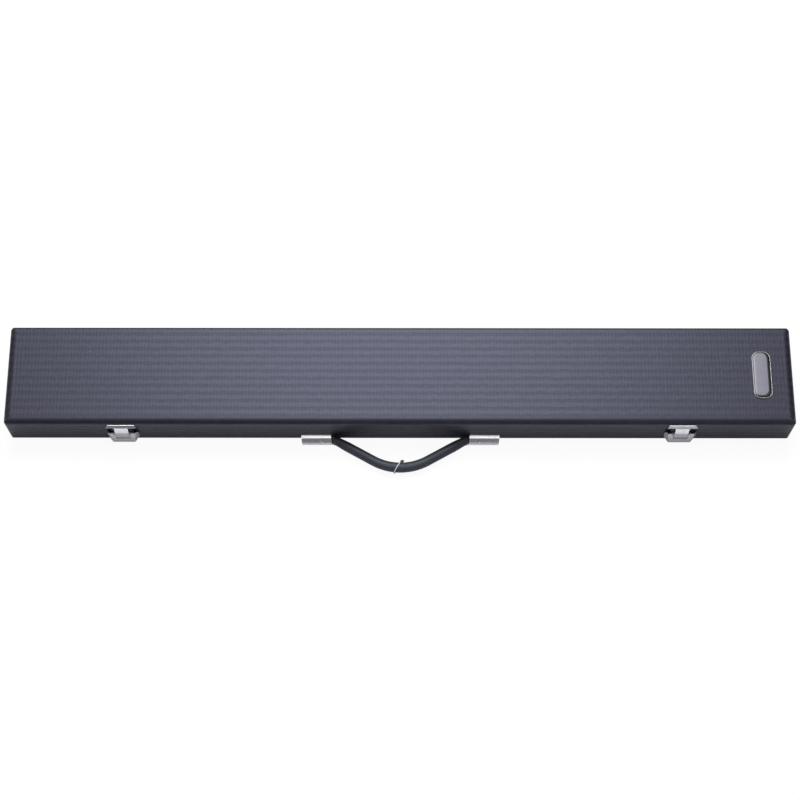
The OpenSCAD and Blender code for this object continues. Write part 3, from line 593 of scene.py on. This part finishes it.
felt_tray("base_felt", BASE_FLOOR, BASE_RIM - SHEET, 1, "base", ["base_lining"])
felt_tray("lid_felt", LID_CEILING, LID_RIM + SHEET, -1, "lid", ["lid_lining"])
print("felt floor and ceiling in mm:", round(BASE_FLOOR / MM, 2), round(LID_CEILING / MM, 2))

# %% [markdown]
# ## Foam cradles
# Three flocked foam blocks hold the butt, the shaft and an extension in U-shaped lanes. Cutting cylinders out of a
# box would leave knife edges, so the section is drawn as one line that rolls over each rib and round each lane, and
# it is carried along the case with its ends rounded off.

# %% Foam cradles
flocked_foam = fuzzy_finish(
    "flocked_foam", 0.0005, 0.00035, (0.018, 0.018, 0.022), (0.07, 0.07, 0.08),
    Roughness=1.0, Sheen_Weight=0.35, Sheen_Roughness=0.6, Specular_IOR_Level=0.1,
)
LANES = np.array([32, 22, 20]) * MM
LANE_FLOOR = 1.2 * MM
RIB_R = 1.1 * MM
END_R = 1.6 * MM
RIPPLE, RIPPLE_X, RIPPLE_Y = 0.12 * MM, 5.3 * MM, 6.1 * MM


def cradle_section(low, high):
    """The section across the case: up the front side, over each rib on a small radius, round each lane as a half
    circle under upright sides, and down the back side. Gives (across, up) points in order."""
    width = high[1] - low[1]
    rib = (width - LANES.sum()) / (LANES.size + 1)
    line = [[[low[1], low[2]]], arc((low[1] + RIB_R, high[2] - RIB_R), RIB_R, 180, 90, 4)]
    left = low[1] + rib
    for lane in LANES:
        right, middle = left + lane, left + lane / 2
        bottom = low[2] + LANE_FLOOR + lane / 2
        line += [
            arc((left - RIB_R, high[2] - RIB_R), RIB_R, 90, 0, 4),
            arc((middle, bottom), lane / 2, 180, 360, 24),
            arc((right + RIB_R, high[2] - RIB_R), RIB_R, 180, 90, 4),
        ]
        left = right + rib
    line += [arc((high[1] - RIB_R, high[2] - RIB_R), RIB_R, 90, 0, 4), [[high[1], low[2]]]]
    return np.vstack(line)


def carried_section(section, stations, shrink):
    """A closed section (across, up) set at each station along X and drawn in by shrink along its own normals."""
    along = np.roll(section, -1, 0) - np.roll(section, 1, 0)
    normal = np.c_[along[:, 1], -along[:, 0]] / np.maximum(np.linalg.norm(along, axis=1), 1e-9)[:, None]
    area = np.sum(section[:, 0] * np.roll(section[:, 1], -1) - np.roll(section[:, 0], -1) * section[:, 1])
    flat = section[None] - np.sign(area) * np.asarray(shrink)[:, None, None] * normal[None]
    rows, columns = flat.shape[:2]
    points = np.concatenate([np.broadcast_to(np.asarray(stations)[:, None, None], (rows, columns, 1)), flat], -1)
    return points, grid_faces(rows, columns, wrap_columns=True, caps=True)


def rounded_ends(start, end, radius, middle_steps, round_steps=5):
    """Stations from start to end and how far the section is drawn in at each, a quarter circle at both ends."""
    angle = np.linspace(0, np.pi / 2, round_steps + 1)
    ramp, drawn = radius * (1 - np.cos(angle)), radius * (1 - np.sin(angle))
    middle = np.linspace(start + radius, end - radius, middle_steps + 1)[1:-1]
    stations = np.r_[start + ramp, middle, (end - ramp)[::-1]]
    return stations, np.r_[drawn, np.zeros(middle.size), drawn[::-1]]


for place in ("left", "middle", "right"):
    low, high = drawn_box("cue_cradle_" + place)
    stations, drawn = rounded_ends(low[0], high[0], END_R, 24)
    points, faces = carried_section(cradle_section(low, high), stations, drawn)
    ripple = RIPPLE * np.sin(points[..., 0] / RIPPLE_X) * np.sin(points[..., 1] / RIPPLE_Y)
    points[..., 2] -= np.where(points[..., 2] > low[2] + 1 * MM, np.abs(ripple), 0)
    cradle = make_piece("foam_cradle_" + place, points, faces, flocked_foam, "base", ["cue_cradle_" + place])
    print("cradle", place, "from", round(low[0] / MM, 1), "to", round(high[0] / MM, 1), "mm")

# %% [markdown]
# ## Padded panel in the lid
# A plush panel in the lid presses the cue into its lanes. It is sewn across in channels, and the cloth swells
# between the seams. A smooth formula could fake the swelling, but a short cloth simulation with some pressure
# inside gives the small wrinkles that gather at the seams. The back and the seams are pinned, and the cloth is
# painted darker towards each seam as painted shade.

# %% Padded panel
# The seam colour is painted shade that darkens the plush towards each sewn seam.
plush = fuzzy_finish(
    "plush_cloth", 0.0009, 0.0004, (0.03, 0.035, 0.055), (0.085, 0.095, 0.135), seam=(0.008, 0.009, 0.014),
    Roughness=0.9, Sheen_Weight=0.5, Sheen_Roughness=0.4, Specular_IOR_Level=0.2,
)
PAD_LOW, PAD_HIGH = drawn_box("lid_pad")
CHANNELS = 13
PAD_STEPS = (260, 20)
SEAM_DEPTH = 0.5 * MM
MOST_SWELL = 0.8 * MM
HELD_BELOW, SEAM_PAINTED_SHADE, PRESSURE = 0.35, 0.8, 9.0


def pad_points():
    """Two sheets over the same grid, the back one flat and the front one a thin pillow: its depth follows the sine
    of the place between seams and of the place across, each raised to a small power so that it is full and flat."""
    along = np.linspace(0, 1, PAD_STEPS[0] + 1)[:, None]
    across = np.linspace(0, 1, PAD_STEPS[1] + 1)[None, :]
    x = PAD_LOW[0] + along * (PAD_HIGH - PAD_LOW)[0] + 0 * across
    y = PAD_LOW[1] + across * (PAD_HIGH - PAD_LOW)[1] + 0 * along
    swell = np.abs(np.sin(np.pi * CHANNELS * along)) ** 0.5 * np.sin(np.pi * across).clip(0) ** 0.35
    thick = (PAD_HIGH - PAD_LOW)[2] - MOST_SWELL
    front = PAD_HIGH[2] - SEAM_DEPTH - (thick - SEAM_DEPTH) * swell
    rim = (along == 0) | (along == 1) | (across == 0) | (across == 1)
    return np.stack([x, y, front], -1), np.stack([x, y, np.full_like(x, PAD_HIGH[2])], -1), swell, rim


front_sheet, back_sheet, pad_swell, pad_rim = pad_points()
rows, columns = pad_swell.shape
count = rows * columns
front_faces = np.array(grid_faces(rows, columns))
around = np.r_[
    np.arange(columns - 1), np.arange(rows - 1) * columns + columns - 1,
    np.arange(count - 1, count - columns, -1), np.arange(rows - 1, 0, -1) * columns,
]
sides = np.stack([around, np.roll(around, -1), np.roll(around, -1) + count, around + count], -1)
pad_faces = front_faces.tolist() + (front_faces[:, ::-1] + count).tolist() + sides.tolist()
pad_array = np.concatenate([front_sheet.reshape(-1, 3), back_sheet.reshape(-1, 3)])
lid_pad = make_piece("lid_pad_cushion", pad_array, pad_faces, plush, "lid", ["lid_pad"])
# Painted shade: the plush is darkened towards each seam by the square of how little it swells there.
store_value(lid_pad, "seam", np.r_[((1 - pad_swell) ** 2).ravel() * SEAM_PAINTED_SHADE, np.zeros(count)])
held = np.r_[(pad_swell < HELD_BELOW).ravel() | pad_rim.ravel(), np.ones(count, bool)]
print("pad channels:", CHANNELS, "points:", len(pad_array), "held:", int(held.sum()))

# %% Swell the padded panel
def swell_cloth(made, held_points, pressure, most, frames=20):
    """Runs the cloth with inside pressure, caps how far a point moves, and keeps the result as the mesh."""
    before = np.empty(3 * len(made.data.vertices))
    made.data.vertices.foreach_get("co", before)
    pins = made.vertex_groups.new(name="seams")
    pins.add(np.flatnonzero(held_points).tolist(), 1.0, "REPLACE")
    cloth = made.modifiers.new("cloth", "CLOTH")
    cloth.settings.use_pressure = True
    cloth.settings.uniform_pressure_force = pressure
    cloth.settings.vertex_group_mass = pins.name
    cloth.settings.effector_weights.gravity = 0
    cloth.settings.quality = 5
    cloth.point_cache.frame_end = frames
    for frame_number in range(1, frames + 1):
        scene.frame_set(frame_number)
    shown = made.evaluated_get(bpy.context.evaluated_depsgraph_get()).data
    after = np.empty_like(before)
    shown.vertices.foreach_get("co", after)
    made.modifiers.remove(cloth)
    made.vertex_groups.remove(pins)
    scene.frame_set(1)
    move = (after - before).reshape(-1, 3)
    reach = np.linalg.norm(move, axis=1, keepdims=True)
    move *= np.minimum(1, most / np.maximum(reach, 1e-9))
    made.data.vertices.foreach_set("co", (before.reshape(-1, 3) + move).ravel())
    made.data.update()
    return reach.max()


reach = swell_cloth(lid_pad, held, PRESSURE, MOST_SWELL)
print("cloth moved at most, in mm:", round(float(reach) / MM, 2))
soften = lid_pad.modifiers.new("soften", "SUBSURF")
soften.levels = soften.render_levels = 1

# %% [markdown]
# ## Handle grip
# The grip is soft moulded plastic: a round bar that bends out from each bracket, runs straight and bows in the
# middle, where it is fullest. It is a circle carried along a path. The path's heading grows and shrinks with a known
# bend, and adding up small steps along it gives the points. A fine moulding line runs along the top.

# %% Moulded plastic
grip_plastic, tree, shader = new_finish(
    "grip_plastic", Specular_Tint=(0.84, 0.86, 1.0, 1), Specular_IOR_Level=0.55
)
skin = use_group(tree, pebble_grain, Size=0.0011)
tone = mix_colour(tree, skin["Tone"], (0.028, 0.03, 0.039), (0.054, 0.057, 0.072))
tree.links.new(tone, shader.inputs["Base Color"])
tree.links.new(remap(tree, skin["Tone"], 0.46, 0.62), shader.inputs["Roughness"])
set_bump(tree, shader, skin["Height"], 0.00015)
print("finish:", grip_plastic.name)

# %% Grip
HANDLE_X, PIVOT_OUT, PIVOT_Z = 0.5 * MM, 4.9 * MM, 8.6 * MM
NECK_X, NECK_R, GRIP_R, TRUNNION_R, TRUNNION_L = 68.6 * MM, 4.5 * MM, 5.2 * MM, 1.6 * MM, 7.9 * MM
SLOPE, NECK_BEND, BOW_R = math.radians(29), 10 * MM, 57 * MM
FLANK_R = 5.05 * MM
STRAIGHT = (NECK_X - (NECK_BEND + BOW_R) * math.sin(SLOPE)) / math.cos(SLOPE)
BOW_DEPTH = (NECK_BEND + BOW_R) * (1 - math.cos(SLOPE)) + STRAIGHT * math.sin(SLOPE)
TIE_D = 1.2 * MM
FLOOR_ROOM = 0.3 * MM
DROOP = math.asin((PIVOT_Z - GRIP_R - 0.05 * MM - TIE_D - FLOOR_ROOM) / BOW_DEPTH)


def handle_to_case(x, out, up):
    """The handle's own plane, turned down by its droop about the pivot, in the case's frame."""
    turned_out = PIVOT_OUT + out * math.cos(DROOP) + up * math.sin(DROOP)
    turned_up = PIVOT_Z - out * math.sin(DROOP) + up * math.cos(DROOP)
    return np.stack(np.broadcast_arrays(x + HANDLE_X, FRONT - turned_out, turned_up), -1)


def grip_path(steps=240):
    """The bar's middle line: the heading rises at the neck, stays, falls through the bow, stays and rises again.
    Gives the place along X, the place outwards, the heading and the distance from the middle."""
    lengths = np.array([NECK_BEND * SLOPE, STRAIGHT, 2 * BOW_R * SLOPE, STRAIGHT, NECK_BEND * SLOPE])
    turns = np.array([SLOPE, 0, -2 * SLOPE, 0, SLOPE])
    ends = np.r_[0, np.cumsum(lengths)]
    distance = np.linspace(0, ends[-1], steps + 1)
    heading = np.interp(distance, ends, np.r_[0, np.cumsum(turns)])
    middle = (heading[1:] + heading[:-1]) / 2
    stride = distance[1] - distance[0]
    x = np.r_[0, np.cumsum(np.cos(middle))] * stride
    out = np.r_[0, np.cumsum(np.sin(middle))] * stride
    return x - x[-1] / 2, out, heading, distance - ends[-1] / 2


def bar_along(x, out, heading, radius, seam=0.0, sides=48):
    """Circles of a radius set across a path in the handle's plane; a narrow ridge stands up at the seam's angle."""
    angle = np.linspace(0, 2 * np.pi, sides, endpoint=False)[None, :]
    ridge = seam * np.exp(-(((angle - math.radians(72)) / 0.07) ** 2))
    grow = np.asarray(radius)[:, None] + ridge
    across, up = grow * np.cos(angle), grow * np.sin(angle)
    return handle_to_case(
        x[:, None] + np.sin(heading)[:, None] * across, out[:, None] - np.cos(heading)[:, None] * across, up
    )


def ease(share):
    """Rises from 0 to 1 with level ends: three times the square less twice the cube."""
    share = np.clip(share, 0, 1)
    return share * share * (3 - 2 * share)


path_x, path_out, path_heading, path_s = grip_path()
from_end, from_middle = abs(path_s[0]) - np.abs(path_s), np.abs(path_s)
path_r = NECK_R + (FLANK_R - NECK_R) * ease((from_end - 3 * MM) / (14 * MM))
path_r += (GRIP_R - FLANK_R) * ease(1 - from_middle / (45 * MM))
end_x = NECK_X + np.array([0.02 * MM, 0.4 * MM, TRUNNION_L - 0.5 * MM, TRUNNION_L])
end_r = np.array([NECK_R - 0.35 * MM, TRUNNION_R, TRUNNION_R, TRUNNION_R - 0.5 * MM])
bar_x = np.r_[-end_x[::-1], path_x, end_x]
bar_out = np.r_[np.zeros(4), path_out, np.zeros(4)]
bar_heading = np.r_[np.zeros(4), path_heading, np.zeros(4)]
bar_r = np.r_[end_r[::-1], path_r, end_r]
points = bar_along(bar_x, bar_out, bar_heading, bar_r, seam=0.16 * MM)
faces = grid_faces(*points.shape[:2], wrap_columns=True, caps=True)
make_piece("handle_bar", points, faces, grip_plastic, "handle", ["handle_grip"])
print("bow depth in mm:", round(BOW_DEPTH / MM, 2), "droop in degrees:", round(math.degrees(DROOP), 2))

# %% [markdown]
# ## Wire tie
# A thin pale wire is still twisted round the grip. It lies in a plane that leans along the bar, and its dark end
# sticks out on the inner side. Both are thin tubes carried along a path of their own.

# %% Wire tie
pale_wire, tree, shader = new_finish("pale_wire", Roughness=0.45)
cloud = use_group(tree, rolled_lines, Fineness=2500.0)
tone = mix_colour(tree, cloud["Cloud"], (0.62, 0.62, 0.63), (0.85, 0.85, 0.86))
tree.links.new(tone, shader.inputs["Base Color"])
dark_end, tree, shader = new_finish("dark_tie_end", Roughness=0.5)
skin = use_group(tree, pebble_grain, Size=0.0006)
tone = mix_colour(tree, skin["Tone"], (0.02, 0.02, 0.024), (0.07, 0.07, 0.08))
tree.links.new(tone, shader.inputs["Base Color"])


def tube(path, radius, sides=12, closed=False):
    """Circles across a path of points, with their first axis taken from the path's own bend plane."""
    ahead = np.roll(path, -1, 0) - np.roll(path, 1, 0)
    if not closed:
        ahead[0], ahead[-1] = path[1] - path[0], path[-1] - path[-2]
    ahead /= np.linalg.norm(ahead, axis=1)[:, None]
    plane = np.linalg.svd(path - path.mean(0))[2][2]
    first = np.cross(ahead, plane)
    first /= np.linalg.norm(first, axis=1)[:, None]
    second = np.cross(ahead, first)
    angle = np.linspace(0, 2 * np.pi, sides, endpoint=False)[None, :, None]
    reach = np.broadcast_to(radius, (len(path),))[:, None, None]
    points = path[:, None] + reach * (np.cos(angle) * first[:, None] + np.sin(angle) * second[:, None])
    return points, grid_faces(len(path), sides, wrap_columns=True, wrap_rows=closed, caps=not closed)


TIE_TURN = math.radians(3)
TIE_LEAN = 0.6
WIRE_R = 0.55 * MM
TWIST_TURNS = 2.2
tie_x, tie_out = -BOW_R * math.sin(TIE_TURN), BOW_DEPTH - BOW_R * (1 - math.cos(TIE_TURN))
round_angle = np.linspace(0, 2 * np.pi, 72, endpoint=False)
loop_r = GRIP_R + 0.02 * MM + WIRE_R
out_part = loop_r * np.cos(round_angle)
loop = handle_to_case(tie_x - TIE_LEAN * out_part, tie_out + out_part, loop_r * np.sin(round_angle))
points, faces = tube(loop, WIRE_R, closed=True)
make_piece("tie_wire_loop", points, faces, pale_wire, "handle", ["handle_tie"])

step = np.linspace(0, 1, 15)
twist = TWIST_TURNS * 2 * np.pi * step
start_x, start_out = tie_x + TIE_LEAN * loop_r, tie_out - loop_r
tie_parts = []
for phase in (0, np.pi):
    strand = handle_to_case(
        start_x + 2.8 * MM * step + 0.45 * MM * np.cos(twist + phase),
        start_out - 1.2 * MM * step + 0.6 * MM * np.cos(twist + phase),
        0.9 * MM + 0.6 * MM * np.sin(twist + phase),
    )
    tie_parts.append(tube(strand, 0.7 * MM * (1 - 0.45 * step ** 6)))
shift = len(tie_parts[0][0].reshape(-1, 3))
points = np.concatenate([part[0].reshape(-1, 3) for part in tie_parts])
faces = tie_parts[0][1] + [[corner + shift for corner in face] for face in tie_parts[1][1]]
make_piece("tie_twisted_end", points, faces, dark_end, "handle")
print("tie at x mm:", round(tie_x / MM, 2), "loop radius mm:", round(loop_r / MM, 2))

# %% [markdown]
# ## Badge
# A small domed badge sits at the right-hand end of the lid and is left bare. It is a rounded rectangle, rolled off at
# the edge, inside a thin metal rim: two profiles carried round one outline. A grey plate lies in a black border, a
# little to the left and back, so that the black shows only on the right and along the front: painted shade where the
# dome's edge turns away from the light. Each point's distance from the plate's own outline says which colour it has.

# %% Badge
badge_gloss, tree, shader = new_finish("badge_gloss", Roughness=0.38, Coat_Weight=0.25, Coat_Roughness=0.2)
foil = use_group(tree, rolled_lines, Fineness=1800.0)
tone = mix_colour(tree, foil["Lines"], (0.17, 0.165, 0.205), (0.27, 0.265, 0.325))
# Black outside the plate: the badge's black border, which shows only on the right and along the front as painted shade.
tone = mix_colour(tree, read_attribute(tree, "inlay"), (0.008, 0.008, 0.01), tone)
tree.links.new(tone, shader.inputs["Base Color"])
polished_rim, tree, shader = new_finish("polished_rim", Metallic=1.0)
cloud = use_group(tree, rolled_lines, Fineness=3000.0)
tone = mix_colour(tree, cloud["Cloud"], (0.4, 0.4, 0.39), (0.55, 0.55, 0.53))
tree.links.new(tone, shader.inputs["Base Color"])
tree.links.new(remap(tree, cloud["Lines"], 0.36, 0.48), shader.inputs["Roughness"])

RIM_LOW, RIM_HIGH = drawn_box("badge_frame")
BADGE_MIDDLE = (RIM_LOW + RIM_HIGH) / 2
BADGE_HALF = (RIM_HIGH - RIM_LOW)[:2] / 2
BADGE_RISE = RIM_HIGH[2] - RIM_LOW[2]
RIM_WIDTH, RIM_GAP = 0.9 * MM, 0.02 * MM
BADGE_CORNER = 7.5 * MM


def badge_rows(profile, closed_loop=False):
    """A profile of (inset, height) carried round the badge's outline, moved to its place on the lid."""
    points, faces, _, _ = ring_solid(
        profile, BADGE_HALF, radius=BADGE_CORNER, closed_loop=closed_loop, steps=(20, 8, 40), least=0.3 * MM
    )
    return points + np.array([BADGE_MIDDLE[0], BADGE_MIDDLE[1], RIM_LOW[2]]), faces


rim_middle = (RIM_WIDTH / 2, BADGE_RISE - RIM_WIDTH / 2)
rim_profile = np.vstack([
    [[RIM_GAP, 0]], arc(rim_middle, RIM_WIDTH / 2 - RIM_GAP, 180, 0, 10), [[RIM_WIDTH - RIM_GAP, 0]]
])
points, faces = badge_rows(rim_profile, closed_loop=True)
make_piece("badge_rim", points, faces, polished_rim, "lid", ["badge_frame"])

DOME_ROLL, DOME_START, CROWN_RISE = 2.4 * MM, RIM_WIDTH + 0.03 * MM, 0.06 * MM
dome_turn = np.radians(np.linspace(0, 90, 15))
dome_in = DOME_START + DOME_ROLL * (1 - np.cos(dome_turn))
dome_up = 0.3 * MM + (BADGE_RISE - 0.38 * MM) * np.sin(dome_turn)
crown_in = np.linspace(4.2, 9.0, 17) * MM
crown_up = dome_up[-1] + CROWN_RISE * (1 - (1 - np.linspace(0.1, 1, 17)) ** 2)
dome_profile = np.vstack([[[DOME_START, 0.0]], np.c_[dome_in, dome_up], np.c_[crown_in, crown_up]])
points, faces = badge_rows(dome_profile)
dome = make_piece("badge_dome", points, faces, badge_gloss, "lid", ["badge_plate"])
print("badge half size in mm:", np.round(BADGE_HALF / MM, 2), "rise:", round(BADGE_RISE / MM, 2))

# %% Grey plate in a black border, widened on one side by painted shade
# The plate is moved left and back, so that the black shows only on the right and along the front, where the dome's edge
# turns away from the light: painted shade.
PLATE_SHIFT_FOR_SHADE = np.array([-2.0, 1.3]) * MM
INLAY_HALF = BADGE_HALF - np.array([2.0, 2.6]) * MM
INLAY_CORNER, INLAY_BLUR = 5.5 * MM, 0.3 * MM
reach = np.abs(points.reshape(-1, 3)[:, :2] - BADGE_MIDDLE[:2] - PLATE_SHIFT_FOR_SHADE) - INLAY_HALF + INLAY_CORNER
outside = np.linalg.norm(reach.clip(0), axis=1) + reach.max(1).clip(max=0) - INLAY_CORNER
store_value(dome, "inlay", np.clip(0.5 - outside / INLAY_BLUR, 0, 1))
print("points on the plate:", int((outside < 0).sum()), "of", outside.size)

# %% [markdown]
# ## Metalwork
# The latches, brackets, hinges, pins and rivets keep their drawn shapes. Pressed and plated metal has no sharp
# edges, so most pieces get a Weld, a small Bevel, and two steps that shade gentle angles smoothly and keep flat faces
# level. The brackets' drawn rounding needs no Bevel. The latches are plated, the brackets are rolled plate, the
# hinges nickel and the inner pins dull steel. The levers are painted a little darker as painted shade, and the
# hooks' upper part near white as a painted highlight, with plain plating grey below it.

# %% Metal finishes
def metal_finish(name, dark, light, smooth, rough, fineness, line_depth, highlight_above=None):
    """Metal whose colour and roughness wander with fine lines and slow clouds. Below a given height in metres it is
    plain plating grey, and above it keeps its own colour, which on the hooks is a painted highlight.
    """
    finish, tree, shader = new_finish(name, Metallic=1.0)
    lines = use_group(tree, rolled_lines, Fineness=fineness)
    tone = mix_colour(tree, lines["Cloud"], dark, light)
    # Painted highlight: above the given height the finish keeps its own pale colour; below it, the plain plating grey.
    if highlight_above:
        height = add_node(tree, "SeparateXYZ", {0: object_coords(tree)}).outputs[2]
        wavy = calc(tree, "MULTIPLY_ADD", lines["Cloud"], 0.6 * MM, height)
        bright = step_up(tree, wavy, highlight_above, highlight_above + 0.8 * MM, "LINEAR")
        tone = mix_colour(tree, bright, (0.6, 0.6, 0.61), tone)
    tree.links.new(tone, shader.inputs["Base Color"])
    wander = calc(tree, "MULTIPLY", calc(tree, "ADD", lines["Lines"], lines["Cloud"]), 0.5)
    tree.links.new(remap(tree, wander, smooth, rough), shader.inputs["Roughness"])
    set_bump(tree, shader, lines["Lines"], line_depth)
    return finish


latch_plating = metal_finish("latch_plating", (0.6, 0.6, 0.62), (0.7, 0.7, 0.72), 0.24, 0.36, 3000.0, 0.000004)
# Painted shade: the levers and latch plates are a little darker than the keepers' plating.
shaded_lever_plating = metal_finish("shaded_lever_plating", (0.56, 0.56, 0.57), (0.68, 0.68, 0.69), 0.24, 0.36, 3000.0, 0.000004)
# The hooks' near-white above 29.6 mm is a painted highlight; below that height they are plain plating grey.
hook_plating_painted_highlight = metal_finish(
    "hook_plating_painted_highlight", (0.95, 0.95, 0.95), (0.99, 0.99, 0.99), 0.24, 0.34, 3000.0, 0.000003, highlight_above=29.6 * MM
)
rolled_plate = metal_finish("rolled_plate", (0.74, 0.74, 0.76), (0.84, 0.84, 0.86), 0.25, 0.31, 3500.0, 0.000002)
nickel = metal_finish("hinge_nickel", (0.5, 0.49, 0.47), (0.7, 0.69, 0.66), 0.22, 0.42, 3000.0, 0.00002)
dull_steel = metal_finish("dull_steel", (0.1, 0.1, 0.11), (0.2, 0.2, 0.21), 0.35, 0.6, 2500.0, 0.00003)
print("metal finishes ready")

# %% Rounded metal edges
def make_shading():
    """A geometry node group that shades every face smoothly and keeps edges sharper than the crease angle."""
    tree = bpy.data.node_groups.new("shade_gentle_edges", "GeometryNodeTree")
    for way in ("INPUT", "OUTPUT"):
        tree.interface.new_socket("Geometry", in_out=way, socket_type="NodeSocketGeometry")
    kinds = ("NodeGroupInput", "GeometryNodeSetShadeSmooth", "GeometryNodeSetShadeSmooth", "NodeGroupOutput")
    chain = [tree.nodes.new(kind) for kind in kinds]
    for before, after in zip(chain, chain[1:]):
        tree.links.new(before.outputs[0], after.inputs[0])
    angle = tree.nodes.new("GeometryNodeInputMeshEdgeAngle")
    gentle = tree.nodes.new("FunctionNodeCompare")
    gentle.operation = "LESS_THAN"
    gentle.inputs["B"].default_value = CREASE
    tree.links.new(angle.outputs["Unsigned Angle"], gentle.inputs["A"])
    edges = chain[2]
    edges.domain = "EDGE"
    tree.links.new(gentle.outputs[0], edges.inputs["Shade Smooth"])
    return tree


shade_gentle = make_shading()


def dress_node(name, finish, edge=0.0):
    """Gives a drawn node its finish, joins its triangles and rounds its edges by a width in metres."""
    made = cad_nodes[name]
    made.data.materials.clear()
    made.data.materials.append(finish)
    weld = made.modifiers.new("join_triangles", "WELD")
    weld.merge_threshold = 1e-6
    if edge:
        bevel = made.modifiers.new("round_edges", "BEVEL")
        bevel.width = edge
        bevel.segments = 3
        bevel.limit_method = "ANGLE"
        bevel.angle_limit = math.radians(30)
    shade = made.modifiers.new("shade_gentle", "NODES")
    shade.node_group = shade_gentle
    if edge:
        level = made.modifiers.new("level_faces", "WEIGHTED_NORMAL")
        level.keep_sharp = True


METALWORK = (
    ("latch_lever_", shaded_lever_plating, 0.22), ("latch_hook_", hook_plating_painted_highlight, 0.22), ("latch_link_pin_", dull_steel, 0),
    ("latch_keeper_rivets", dull_steel, 0), ("latch_keeper_", latch_plating, 0.14),
    ("latch_plate_rivets", dull_steel, 0), ("latch_plate_", shaded_lever_plating, 0.1), ("handle_bracket_", rolled_plate, 0),
    ("handle_rivets", rolled_plate, 0), ("handle_washers", rolled_plate, 0), ("hinge_base_rivets", nickel, 0),
    ("hinge_lid_rivets", nickel, 0), ("hinge_base_leaf_", nickel, 0.12), ("hinge_lid_leaf_", nickel, 0.12),
    ("hinge_pin_", nickel, 0.1), ("latch_pivot_pins", dull_steel, 0),
)
for name in cad_nodes:
    fits = [(finish, edge) for prefix, finish, edge in METALWORK if name.startswith(prefix)]
    if fits:
        finish, edge = fits[0]
        dress_node(name, finish, edge * MM)
print("metal nodes dressed")

# %% [markdown]
# ## Wooden box
# The panels and walls under the covering are plain plywood. They hardly show, but a cut-away view should still find
# wood there: long grain along X, pale and dark bands and fine pores.

# %% Wood
plywood, tree, shader = new_finish("plywood", Roughness=0.7)
stretch = add_node(tree, "Mapping", {"Vector": object_coords(tree), "Scale": (0.06, 1.0, 1.0)}).outputs[0]
bands = noise(tree, stretch, 160.0, 5.0, Distortion=0.6)
tone = mix_colour(tree, bands, (0.36, 0.23, 0.12), (0.68, 0.5, 0.32))
tree.links.new(tone, shader.inputs["Base Color"])
set_bump(tree, shader, noise(tree, stretch, 1800.0, 2.0), 0.00006)
wooden = [name for name in cad_nodes if name.endswith(("_panel", "_wall", "_end"))]
for name in wooden:
    dress_node(name, plywood)
print("wooden nodes:", len(wooden))
